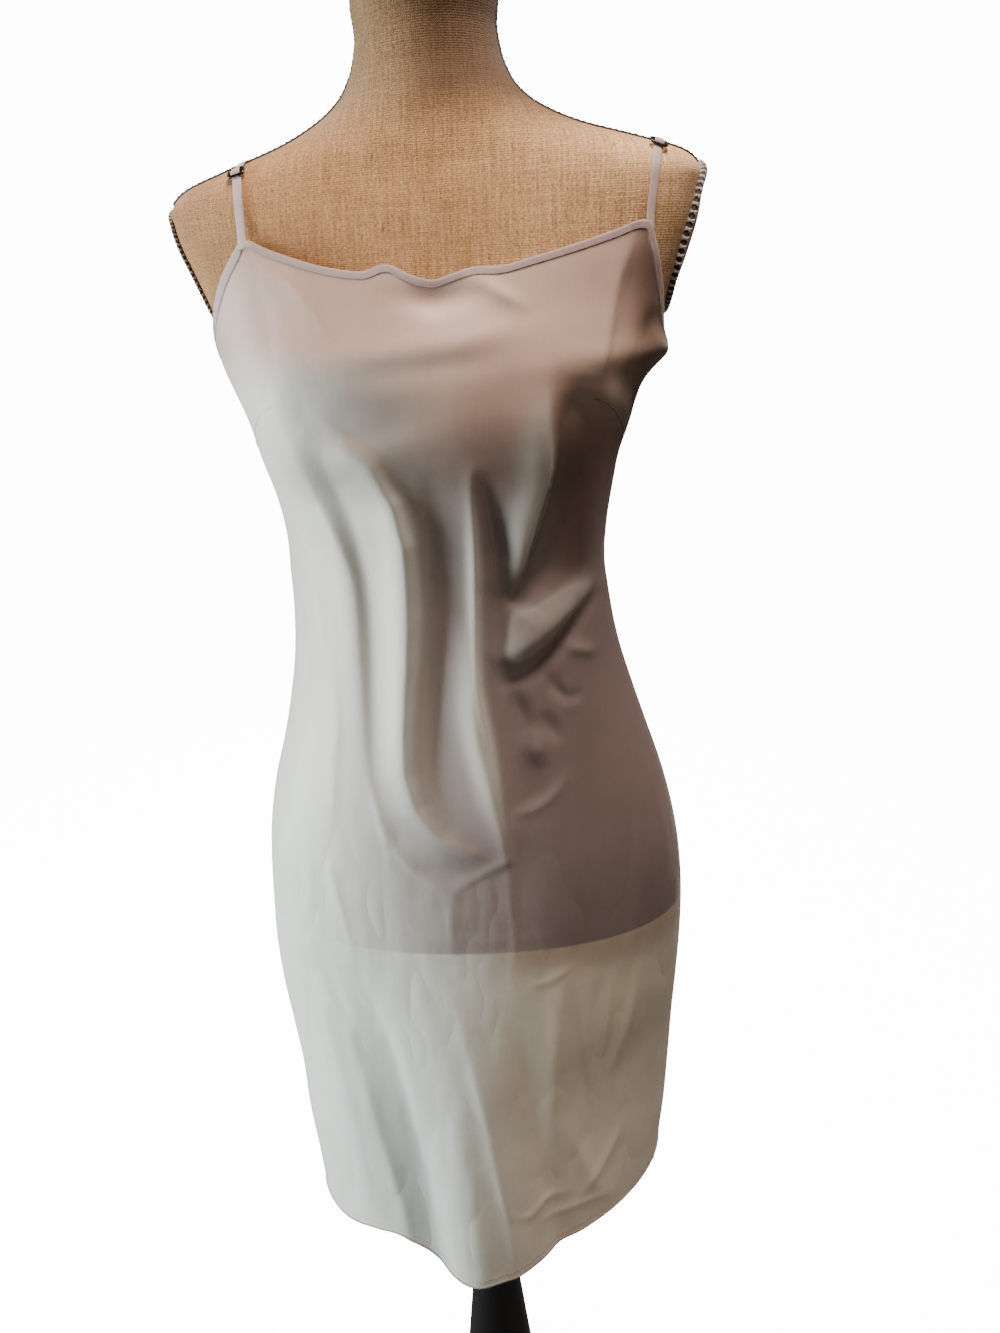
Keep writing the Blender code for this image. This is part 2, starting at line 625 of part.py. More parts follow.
def form_torso(name):
    """The form's body from the neck to its foot: a ring at each section, closed by flat ends."""
    angle = np.linspace(0.0, 2 * math.pi, FORM_STEPS, endpoint=False)
    z = column(FORM_SECTIONS, FORM_COLUMNS, "z")[:, None]
    half_width = column(FORM_SECTIONS, FORM_COLUMNS, "half_width")[:, None]
    front = column(FORM_SECTIONS, FORM_COLUMNS, "front")[:, None]
    back = column(FORM_SECTIONS, FORM_COLUMNS, "back")[:, None]
    exponent = column(FORM_SECTIONS, FORM_COLUMNS, "exponent")[:, None]
    depth = np.where(np.cos(angle) < 0, back, front)
    across, along = superellipse(angle, half_width, depth, exponent)
    points = tilted(np.stack([across, -along, np.broadcast_to(z, across.shape)], axis=-1))
    rings, steps = points.shape[:2]
    index = np.arange(rings * steps).reshape(rings, steps)
    following = np.roll(index, -1, axis=1)
    sides = np.stack([index[:-1], following[:-1], following[1:], index[1:]], axis=-1).reshape(-1, 4)
    ends = [index[0].tolist(), index[-1].tolist()]
    mesh = bpy.data.meshes.new(name)
    mesh.from_pydata(points.reshape(-1, 3).tolist(), [], sides.tolist() + ends)
    shape = bmesh.new()
    shape.from_mesh(mesh)
    bmesh.ops.recalc_face_normals(shape, faces=shape.faces)
    shape.to_mesh(mesh)
    shape.free()
    return finish(name, mesh, "linen")


def arm_plate(name, side):
    """The oval cover of an arm end, laid on the form: rings of a flat oval moved out to the cover."""
    ring_steps = 24
    rings = 4
    turn = np.linspace(0.0, 2 * math.pi, ring_steps, endpoint=False)
    share = np.linspace(0.0, 1.0, rings + 1)[1:, None]
    y = np.append(0.0, (share * ARM_PLATE_HALF_DEPTH * np.cos(turn)).reshape(-1))
    z = np.append(ARM_PLATE_Z, (ARM_PLATE_Z + share * ARM_PLATE_HALF_HEIGHT * np.sin(turn)).reshape(-1))
    exponent = form_section(z, "exponent")
    depth = np.where(y < 0, form_section(z, "front"), form_section(z, "back"))
    x = form_section(z, "half_width") * (1 - (np.abs(y) / depth) ** exponent) ** (1 / exponent)
    under = np.stack([side * (x + ARM_PLATE_LIFT), y, z], axis=-1)
    outer = under + np.array([side * ARM_PLATE_THICKNESS, 0.0, 0.0])
    count = len(y)
    ring = np.arange(1, count).reshape(rings, ring_steps)
    following = np.roll(ring, -1, axis=1)
    fan = [(0, a, b) for a, b in zip(ring[0].tolist(), following[0].tolist())]
    quads = np.stack([ring[:-1], ring[1:], following[1:], following[:-1]], axis=-1).reshape(-1, 4).tolist()
    faces = fan + quads
    below = [tuple(count + place for place in reversed(face)) for face in faces]
    rim = [(a, b, b + count, a + count) for a, b in zip(ring[-1].tolist(), following[-1].tolist())]
    mesh = bpy.data.meshes.new(name)
    mesh.from_pydata(tilted(np.concatenate([outer, under])).tolist(), [], faces + below + rim)
    shape = bmesh.new()
    shape.from_mesh(mesh)
    bmesh.ops.recalc_face_normals(shape, faces=shape.faces)
    shape.to_mesh(mesh)
    shape.free()
    return finish(name, mesh, "linen")


def turned(name, outline, finish_name):
    """A solid of revolution about the pole's axis, from an outline of radii and heights."""
    shape = bmesh.new()
    corners = [shape.verts.new((radius, 0.0, z)) for radius, z in outline]
    edges = [shape.edges.new(pair) for pair in zip(corners, corners[1:])]
    bmesh.ops.spin(
        shape, geom=corners + edges, axis=(0, 0, 1), cent=(0, 0, 0),
        angle=2 * math.pi, steps=ROUND_STEPS, use_merge=True,
    )
    bmesh.ops.remove_doubles(shape, verts=shape.verts, dist=1e-6)
    bmesh.ops.recalc_face_normals(shape, faces=shape.faces)
    mesh = bpy.data.meshes.new(name)
    shape.to_mesh(mesh)
    shape.free()
    return finish(name, mesh, finish_name)


def base_plate(name):
    """The oval plate under the form that the pole carries."""
    shape = bmesh.new()
    bmesh.ops.create_cone(
        shape, cap_ends=True, segments=ROUND_STEPS, radius1=1.0, radius2=1.0, depth=PLATE_THICKNESS
    )
    bmesh.ops.scale(shape, vec=(PLATE_HALF_WIDTH, PLATE_HALF_DEPTH, 1.0), verts=shape.verts)
    middle = FORM_BOTTOM_Z - GAP - PLATE_THICKNESS / 2
    bmesh.ops.translate(shape, vec=(0.0, 0.0, middle), verts=shape.verts)
    mesh = bpy.data.meshes.new(name)
    shape.to_mesh(mesh)
    shape.free()
    return finish(name, mesh, "stand_black")


def main():
    for old in list(bpy.data.objects):
        bpy.data.objects.remove(old)
    dress_panel("dress_front", facing=-1)
    dress_panel("dress_back", facing=1)
    neck_binding("binding_neck_front", facing=-1)
    neck_binding("binding_neck_back", facing=1)
    for word, side in (("left", -1), ("right", 1)):
        armhole_binding("binding_armhole_" + word, side)
        strap("strap_front_" + word, side, strap_end(side, -1), SLIDER_ANGLES[side] + STRAP_END_HALF, steps=10)
        strap("strap_back_" + word, side, SLIDER_ANGLES[side] - STRAP_END_HALF, strap_end(side, 1), steps=20)
        slider("strap_slider_" + word, side)
        arm_plate("form_arm_plate_" + word, side)
    form_torso("form_torso")
    base_plate("form_base_plate")
    turned("stand_pole", POLE_OUTLINE, "stand_black")
    turned("stand_base", BASE_OUTLINE, "stand_black")


main()
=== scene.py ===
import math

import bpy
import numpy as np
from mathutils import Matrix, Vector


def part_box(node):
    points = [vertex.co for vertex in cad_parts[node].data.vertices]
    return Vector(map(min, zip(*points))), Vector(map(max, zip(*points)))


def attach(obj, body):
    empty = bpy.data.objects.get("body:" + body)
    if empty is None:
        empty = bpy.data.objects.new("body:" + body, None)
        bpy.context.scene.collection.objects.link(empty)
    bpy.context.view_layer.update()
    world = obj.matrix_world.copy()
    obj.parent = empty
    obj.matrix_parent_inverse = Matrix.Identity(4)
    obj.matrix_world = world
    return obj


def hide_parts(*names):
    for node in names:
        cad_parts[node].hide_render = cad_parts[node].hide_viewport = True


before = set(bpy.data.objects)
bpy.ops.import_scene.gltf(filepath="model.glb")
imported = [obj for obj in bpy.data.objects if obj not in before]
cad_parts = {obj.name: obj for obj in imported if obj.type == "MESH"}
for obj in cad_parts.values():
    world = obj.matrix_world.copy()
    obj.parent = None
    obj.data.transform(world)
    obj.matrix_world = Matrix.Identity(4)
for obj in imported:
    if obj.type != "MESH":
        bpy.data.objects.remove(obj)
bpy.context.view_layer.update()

# The looks of a satin slip dress, worn by a limbless linen-covered dress form on a black stand.
#
# Metres, +Z up, the floor at z = 0. The front faces -Y, and +X is to the right of someone who looks at
# the front, so "left" and "right" are that person's. The form and the dress are superellipses about the
# pole's axis, level by level, read from the same two tables of sections as the solids. The cloth is
# those sections moved in and out by its folds, listed in millimetres, and it stays clear of the form.

BODY = "root"
MM = 0.001
FRONT, BACK = -1, 1
SIDES = (("left", -1), ("right", 1))
SIDE_WORDS = {side: word for word, side in SIDES}

# ---------------------------------------------------------------------------------------------- sizes

CLOTH_THICKNESS = 0.5 * MM
CLOTH_CLEAR = 0.5 * MM  # the least room between the cloth's inner face and the form
CLOTH_SOFTENS = 0.6 * MM  # how gently the cloth comes to rest on the form
SEAM_CALM = 30.0 * MM  # the folds fade out this near the side seams
FREE_ROOM = 30.0 * MM  # how far in a fold may go below the form
FORM_REACH = 10.0 * MM  # the cloth stays clear of the form to this far below it
PANEL_TUCK = 1.5 * MM  # how far a panel runs up under its binding
BINDING_WIDTH = 5.6 * MM
BINDING_WALL = 1.7 * MM
BINDING_PROUD = 0.55 * MM
STITCH_PROUD = 0.45 * MM
STITCH_SHARE = 0.80  # the stitches' place over the binding's width
STRAP_WIDTH = 6.6 * MM
STRAP_WALL = 1.1 * MM
UNDERARM_Z = 1.286
HEM_TURN = 9.0 * MM
HEM_ROLL = 1.1 * MM
HEM_HALF_WIDTHS = (0.1660, 0.1650)  # left and right

SHOULDER_TILT = 0.034  # the cover's rise to the right, per metre, at the shoulders
TILT_FROM = 1.33
TILT_TO = 1.40

FORM_BOTTOM_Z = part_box("form_torso")[0].z
FORM_TOP_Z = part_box("form_torso")[1].z

FORM_COLUMNS = ("z", "half_width", "front", "back", "exponent")
FORM_SECTIONS = (
    (1.530, 0.0438, 0.0465, 0.0465, 2.0),
    (1.527, 0.0458, 0.0485, 0.0485, 2.0),
    (1.490, 0.0480, 0.0490, 0.0500, 2.0),
    (1.470, 0.0532, 0.0520, 0.0550, 2.0),
    (1.455, 0.0628, 0.0580, 0.0620, 2.0),
    (1.443, 0.0782, 0.0630, 0.0680, 2.1),
    (1.430, 0.1060, 0.0680, 0.0730, 2.2),
    (1.417, 0.1475, 0.0720, 0.0770, 2.4),
    (1.408, 0.1735, 0.0740, 0.0790, 2.6),
    (1.398, 0.1845, 0.0770, 0.0820, 2.7),
    (1.385, 0.1838, 0.0810, 0.0860, 2.7),
    (1.370, 0.1812, 0.0850, 0.0900, 2.6),
    (1.350, 0.1745, 0.0900, 0.0940, 2.5),
    (1.325, 0.1650, 0.0980, 0.0970, 2.4),
    (1.300, 0.1560, 0.1080, 0.0970, 2.4),
    (1.275, 0.1460, 0.1165, 0.0950, 2.3),
    (1.250, 0.1365, 0.1185, 0.0920, 2.3),
    (1.220, 0.1275, 0.1130, 0.0880, 2.3),
    (1.190, 0.1220, 0.1030, 0.0830, 2.2),
    (1.160, 0.1175, 0.0950, 0.0800, 2.2),
    (1.130, 0.1155, 0.0880, 0.0800, 2.2),
    (1.100, 0.1180, 0.0880, 0.0820, 2.2),
    (1.060, 0.1265, 0.0905, 0.0875, 2.2),
    (1.020, 0.1385, 0.0940, 0.0950, 2.2),
    (0.980, 0.1515, 0.0975, 0.1030, 2.2),
    (0.940, 0.1630, 0.1010, 0.1090, 2.2),
    (0.900, 0.1715, 0.1030, 0.1130, 2.2),
    (0.860, 0.1745, 0.1035, 0.1130, 2.2),
    (0.832, 0.1735, 0.1040, 0.1120, 2.2),
    (0.827, 0.1695, 0.1000, 0.1080, 2.2),
)

DRESS_COLUMNS = ("z", "left", "right", "front", "back", "exponent")
DRESS_SECTIONS = (
    (1.400, 0.1895, 0.1895, 0.0830, 0.0870, 2.7),
    (1.375, 0.1865, 0.1865, 0.0885, 0.0930, 2.6),
    (1.350, 0.1795, 0.1790, 0.0960, 0.0985, 2.5),
    (1.320, 0.1700, 0.1685, 0.1050, 0.1015, 2.4),
    (1.300, 0.1640, 0.1630, 0.1120, 0.1020, 2.4),
    (1.286, 0.1605, 0.1625, 0.1160, 0.1015, 2.4),
    (1.272, 0.1560, 0.1520, 0.1195, 0.1010, 2.3),
    (1.250, 0.1475, 0.1405, 0.1225, 0.0990, 2.3),
    (1.220, 0.1400, 0.1312, 0.1200, 0.0960, 2.3),
    (1.190, 0.1330, 0.1255, 0.1130, 0.0920, 2.2),
    (1.160, 0.1295, 0.1210, 0.1060, 0.0895, 2.2),
    (1.130, 0.1305, 0.1190, 0.1010, 0.0890, 2.2),
    (1.100, 0.1315, 0.1225, 0.0990, 0.0900, 2.2),
    (1.060, 0.1355, 0.1300, 0.0985, 0.0935, 2.2),
    (1.020, 0.1438, 0.1420, 0.1000, 0.0990, 2.2),
    (0.985, 0.1530, 0.1535, 0.1020, 0.1065, 2.2),
    (0.950, 0.1640, 0.1652, 0.1045, 0.1120, 2.2),
    (0.910, 0.1730, 0.1758, 0.1065, 0.1160, 2.2),
    (0.870, 0.1780, 0.1828, 0.1075, 0.1175, 2.2),
    (0.830, 0.1808, 0.1858, 0.1080, 0.1175, 2.2),
    (0.790, 0.1835, 0.1858, 0.1100, 0.1180, 2.1),
    (0.745, 0.1822, 0.1835, 0.1120, 0.1190, 2.1),
    (0.700, 0.1792, 0.1806, 0.1140, 0.1200, 2.0),
    (0.650, 0.1750, 0.1780, 0.1160, 0.1215, 2.0),
    (0.600, 0.1742, 0.1752, 0.1180, 0.1230, 2.0),
    (0.550, 0.1705, 0.1705, 0.1195, 0.1245, 2.0),
    (0.480, 0.1665, 0.1650, 0.1210, 0.1260, 2.0),
)

EDGE_COLUMNS = ("x", "z")
FRONT_EDGE = (
    (-0.1225, 1.3685),
    (-0.1155, 1.3690),
    (-0.1040, 1.3632),
    (-0.0890, 1.3570),
    (-0.0720, 1.3510),
    (-0.0530, 1.3465),
    (-0.0400, 1.3450),
    (-0.0215, 1.3480),
    (-0.0080, 1.3415),
    (0.0050, 1.3380),
    (0.0160, 1.3405),
    (0.0290, 1.3440),
    (0.0500, 1.3445),
    (0.0710, 1.3490),
    (0.1070, 1.3575),
    (0.1240, 1.3620),
    (0.1400, 1.3665),
    (0.1470, 1.3660),
)
BACK_EDGE = (
    (-0.1035, 1.3200),
    (-0.0965, 1.3205),
    (-0.0500, 1.3140),
    (0.0100, 1.3110),
    (0.0650, 1.3150),
    (0.1125, 1.3225),
    (0.1195, 1.3220),
)
FRONT_HEM = (
    (-0.1660, 0.4980),
    (-0.1300, 0.5050),
    (-0.0950, 0.5180),
    (-0.0700, 0.5230),
    (-0.0500, 0.5120),
    (-0.0320, 0.4990),
    (-0.0120, 0.4900),
    (0.0120, 0.4905),
    (0.0350, 0.4930),
    (0.0520, 0.5020),
    (0.0720, 0.5140),
    (0.0950, 0.5230),
    (0.1200, 0.5300),
    (0.1450, 0.5370),
    (0.1650, 0.5420),
)
BACK_HEM = (
    (-0.1660, 0.4980),
    (-0.0900, 0.5050),
    (-0.0200, 0.5130),
    (0.0500, 0.5120),
    (0.1200, 0.5290),
    (0.1650, 0.5420),
)

# The folds and creases, in millimetres. Each follows a smooth line through its points (x, z, height)
# from the top down, and its height is below zero in a trough. The widths are where it has fallen to a
# third, to the left and to the right of the line. The crest is 0 for a knife edge and 3 for a soft roll.
FOLD_COLUMNS = ("name", "left", "right", "crest", "points")
FRONT_FOLDS = (
    # From the bust to the waist and over the hips.
    ("bust to hip ridge", 18, 7.5, 0.7, (
        (-86, 1262, 0), (-62, 1244, 2.4), (-44, 1227, 4.6), (-29, 1199, 7.4), (-23.5, 1172, 9.5),
        (-24, 1130, 10), (-27, 1090, 10), (-32, 1050, 9), (-36, 1010, 8), (-35, 972, 6), (-20, 942, 4),
        (2, 927, 3), (24, 916, 2), (38, 908, 0))),
    ("centre trough", 9, 15, 2.8, (
        (0, 1222, 0), (0, 1200, -1.8), (-3, 1174, -3.2), (-6, 1140, -3.2), (-8, 1100, -3.0),
        (-12, 1060, -3.2), (-15, 1020, -3.2), (-15, 990, -2.8), (-9, 960, -1.6), (0, 940, 0))),
    ("centre narrow ridge", 6, 5, 0.6, (
        (27, 1228, 0), (25, 1202, 2.4), (24, 1165, 4.2), (22, 1120, 4.5), (21, 1085, 4.5),
        (22, 1050, 5), (29, 1010, 4.5), (34, 965, 3), (37, 925, 1.6), (40, 888, 0))),
    ("narrow ridge's broad side", 14, 7, 1.4, (
        (12, 1116, 0), (13, 1070, 3.4), (17, 1024, 5.8), (24, 985, 6.0), (30, 945, 3.4), (36, 908, 0))),
    ("right of the narrow ridge", 8, 9, 2.2, (
        (32, 1218, 0), (36, 1194, -4), (40, 1162, -8), (41, 1135, -6), (38, 1095, -3), (43, 1060, -2),
        (48, 1020, -2), (50, 980, -1), (52, 940, 0))),
    ("under the left bust", 13, 15, 2.4, (
        (-104, 1262, 0), (-84, 1254, -3.2), (-60, 1248, -5.0), (-36, 1250, -4.0), (-8, 1256, -1.4),
        (14, 1262, 0))),
    ("left lap", 24, 8, 0.4, (
        (-106, 1252, 0), (-97, 1230, 2.2), (-83, 1198, 3.2), (-71, 1164, 3.6), (-65, 1138, 3.6),
        (-66, 1100, 3.0), (-67, 1060, 2.6), (-68, 1020, 2.2), (-68, 985, 1.6), (-64, 950, 0.6),
        (-60, 925, 0))),
    ("left of the long ridge", 9, 12, 2.8, (
        (-86, 1246, 0), (-76, 1226, -2.0), (-64, 1192, -3.2), (-58, 1156, -3.4), (-56, 1120, -3.0),
        (-58, 1060, -2.4), (-60, 1010, -1.6), (-60, 975, -0.5), (-56, 955, 0))),
    ("left fine ridge", 6, 4, 0.6, (
        (-106, 1200, 0), (-104, 1176, 1.2), (-98, 1140, 1.3), (-96, 1110, 1.3), (-98, 1075, 0.8),
        (-100, 1050, 0))),
    ("left low ridge", 5, 5, 0.8, (
        (-92, 1095, 0), (-90, 1060, 0.9), (-90, 1020, 1.0), (-96, 990, 1.2), (-99, 965, 1.0),
        (-101, 930, 0))),
    ("left flank fold", 7, 7, 1.0, (
        (-122, 1130, 0), (-118, 1095, -1.6), (-117, 1060, -1.8), (-121, 1030, -1.0), (-124, 1005, 0))),
    ("bust ridge", 18, 6, 1.0, (
        (78, 1288, 0), (75, 1262, 4), (74, 1240, 6.4), (72, 1205, 7.6), (65, 1186, 7.6), (58, 1160, 7),
        (53, 1136, 4.6), (48, 1122, 0))),
    ("under the bust ridge", 10, 16, 1.8, (
        (99, 1276, 0), (97, 1260, -4), (95, 1238, -9), (88, 1206, -12), (78, 1170, -12.5),
        (65, 1138, -11), (56, 1124, -6), (48, 1115, 0))),
    ("right bust side swell", 15, 17, 0.6, (
        (78, 1272, 0), (94, 1268, 3.0), (110, 1262, 3.8), (124, 1250, 3.4), (134, 1232, 2.0),
        (138, 1214, 0))),
    ("side drag", 4, 5, 0.6, (
        (90, 1240, 0), (84, 1216, 2.4), (78, 1190, 3.0), (70, 1168, 2.6), (62, 1144, 0))),
    ("waist roll", 15, 10, 1.4, (
        (118, 1126, 0), (106, 1121, 2.8), (90, 1111, 5.0), (74, 1099, 6.6), (58, 1088, 6.2),
        (42, 1080, 3.8), (30, 1075, 0))),
    ("waist crease", 10, 7, 1.8, (
        (120, 1122, 0), (108, 1111, -2.4), (92, 1095, -3.8), (76, 1077, -4.4), (60, 1064, -3.8),
        (46, 1060, -2.4), (34, 1060, 0))),
    ("waist shelf", 14, 9, 1.5, (
        (34, 1118, 0), (50, 1108, 2.5), (66, 1112, 2.5), (80, 1128, 1.5), (92, 1142, 0))),
    ("right waist pucker one", 5, 5, 1.0, (
        (84, 1082, 0), (92, 1078, 1.8), (104, 1072, 1.8), (112, 1066, 0))),
    ("right waist pucker two", 5, 6, 1.0, (
        (72, 1066, 0), (80, 1048, -3.0), (90, 1040, -2.6), (100, 1042, 0))),
    ("right waist pucker three", 5, 5, 1.0, ((82, 1056, 0), (88, 1044, 1.8), (92, 1026, 0))),
    ("right hip dent one", 6, 6, 1.5, ((48, 1052, 0), (53, 1036, -2.4), (55, 1024, -2.0), (54, 1008, 0))),
    ("right hip dent two", 6, 6, 1.5, ((68, 1034, 0), (74, 1020, -2.6), (82, 1004, 0))),
    ("right hip dent three", 7, 7, 1.5, ((60, 1024, 0), (64, 1006, 2.2), (66, 988, 0))),
    ("right hip hollow", 14, 12, 1.6, (
        (58, 1004, 0), (62, 985, -2.0), (59, 968, -2.6), (50, 954, -1.6), (42, 944, 0))),
    ("right hip lip", 6, 4, 0.5, (
        (40, 951, 0), (54, 954, 1.8), (66, 960, 2.0), (80, 972, 1.4), (88, 986, 0))),
    # The soft creases where the two long ridges meet in the lap.
    ("lap crease left", 5, 6, 0.8, (
        (-60, 968, 0), (-57, 948, 0.7), (-50, 925, 1.0), (-38, 908, 1.2), (-22, 896, 1.1),
        (-8, 886, 0.8), (2, 880, 0))),
    ("lap crease right", 5, 3, 0.6, (
        (44, 918, 0), (33, 911, 1.2), (16, 902, 1.0), (2, 893, 0.9), (-8, 886, 0))),
    ("lap hollow", 14, 12, 2.0, (
        (-50, 915, 0), (-28, 905, -1.4), (0, 906, -1.6), (24, 912, -1.0), (36, 918, 0))),
    ("lap line down", 3, 4, 0.4, ((-6, 892, 0), (-8, 876, 0.8), (-10, 852, 0.7), (-9, 826, 0))),
    ("lap line right", 3, 3, 0.4, ((38, 905, 0), (39, 880, 0.6), (41, 846, 0.6), (40, 815, 0))),
    ("hip line left", 4, 4, 0.5, ((-66, 990, 0), (-62, 960, 1.0), (-57, 930, 0.9), (-54, 905, 0))),
    ("hip line far left", 5, 4, 0.6, ((-112, 925, 0), (-105, 890, 0.8), (-98, 850, 1.0), (-92, 815, 0))),
    # The bodice.
    ("cowl pocket", 9, 8, 1.8, (
        (-34, 1330, 0), (-14, 1328, -1.8), (6, 1325, -4.8), (24, 1327, -2.8), (44, 1328, 0))),
    ("cowl swell", 10, 8, 1.4, (
        (-84, 1297, 0), (-52, 1294, 1.5), (-8, 1296, 2.0), (32, 1301, 1.9), (66, 1308, 0))),
    ("cowl dip", 8, 9, 1.8, (
        (-56, 1278, 0), (-34, 1280, -0.9), (-4, 1284, -1.3), (24, 1286, -1.1), (56, 1290, 0))),
    ("left corner drag", 8, 4, 0.5, ((-112, 1352, 0), (-94, 1346, 1.2), (-77, 1328, 1.6), (-58, 1304, 0))),
    ("left corner fall", 7, 7, 1.5, (
        (-117, 1350, 0), (-110, 1330, -0.7), (-107, 1306, -0.8), (-109, 1278, 0))),
    ("centre drag", 4, 5, 0.4, ((24, 1341, 0), (36, 1335, 1.8), (50, 1327, 2.3), (68, 1316, 0))),
    ("right corner drag", 8, 4, 0.5, (
        (137, 1360, 0), (131, 1348, 1.4), (124, 1330, 1.9), (119, 1304, 1.8), (113, 1278, 1.2),
        (106, 1262, 0))),
    ("right corner fall", 8, 12, 1.8, (
        (146, 1350, 0), (138, 1336, -1.2), (131, 1312, -1.8), (125, 1288, -1.8), (119, 1262, 0))),
    ("left dimple", 3, 3, 0.8, ((-113, 1279, 0), (-114, 1268, -1.3), (-115, 1256, 0))),
    ("underarm kink", 6, 5, 0.6, (
        (146, 1304, 0), (153, 1296, 2.0), (158, 1287, 4.5), (152, 1276, 3.0), (142, 1266, 0))),
    ("underarm tuck", 5, 5, 0.8, ((152, 1316, 0), (146, 1300, -3.0), (142, 1284, -2.0), (136, 1270, 0))),
    ("right side fall", 5, 5, 0.8, ((136, 1262, 0), (128, 1232, 1.2), (122, 1200, 1.2), (119, 1165, 0))),
    # The skirt, which hangs free below the form: flat facets that meet in soft edges.
    ("skirt flute", 44, 38, 0.5, (
        (-52, 870, 0), (-36, 812, 1.5), (-27, 768, 3.5), (-16, 710, 6.5), (-9, 640, 10), (-5, 570, 13),
        (-2, 500, 15), (-1, 470, 15))),
    ("skirt second edge", 8, 22, 0.5, (
        (-20, 820, 0), (-8, 776, 1.2), (4, 715, 2.4), (14, 650, 3.2), (22, 590, 3.6), (28, 540, 2.4),
        (30, 490, 1))),
    ("skirt right edge", 16, 14, 0.4, (
        (84, 815, 0), (80, 796, 1.2), (73, 740, 2.2), (67, 680, 2.8), (62, 620, 2.8), (60, 570, 1.6),
        (60, 530, 0))),
    ("skirt right valley", 12, 14, 1.4, (
        (46, 790, 0), (48, 720, -1.4), (54, 640, -2.4), (64, 570, -3.4), (76, 480, -4.5))),
    ("skirt left valley", 22, 11, 1.0, (
        (-96, 812, 0), (-86, 784, -1.8), (-70, 730, -3.8), (-59, 672, -5.6), (-49, 610, -7.0),
        (-42, 550, -7.0), (-38, 480, -6.0))),
    ("skirt left edge", 18, 9, 0.4, (
        (-122, 800, 0), (-110, 760, 1.0), (-98, 700, 2.0), (-86, 640, 3.2), (-74, 585, 3.4),
        (-66, 535, 2.4), (-62, 490, 1))),
    ("skirt far left edge", 10, 8, 0.5, (
        (-130, 790, 0), (-126, 735, 1.4), (-116, 670, 1.6), (-106, 600, 1.4), (-102, 540, 0))),
    ("skirt left dimple", 5, 5, 1.0, (
        (-120, 812, 0), (-116, 790, -1.6), (-108, 760, -1.2), (-104, 740, 0))),
    ("skirt top crease", 3, 4, 0.5, ((50, 798, 0), (62, 798, 0.7), (74, 803, 0.8), (90, 812, 0))),
    ("skirt right facet one", 5, 8, 0.5, ((100, 806, 0), (97, 770, 1.8), (98, 715, 1.8), (103, 660, 0))),
    ("skirt right facet two", 6, 8, 0.5, ((144, 800, 0), (138, 762, 1.8), (126, 716, 1.8), (114, 684, 0))),
    ("skirt right facet four", 4, 7, 0.5, (
        (118, 802, 0), (116, 766, 1.4), (112, 728, 1.4), (108, 690, 0))),
    ("skirt right facet five", 6, 6, 0.6, ((132, 640, 0), (120, 610, 1.4), (100, 578, 1.5), (84, 556, 0))),
    ("skirt right facet three", 8, 10, 0.6, (
        (76, 660, 0), (88, 620, 1.4), (104, 575, 1.6), (122, 535, 0))),
    ("skirt low crease one", 5, 5, 0.7, ((28, 566, 0), (44, 560, 1.0), (60, 574, 1.2), (84, 572, 0))),
    ("skirt low crease two", 5, 5, 0.7, ((50, 548, 0), (70, 552, 1.0), (96, 556, 1.1), (126, 552, 0))),
)
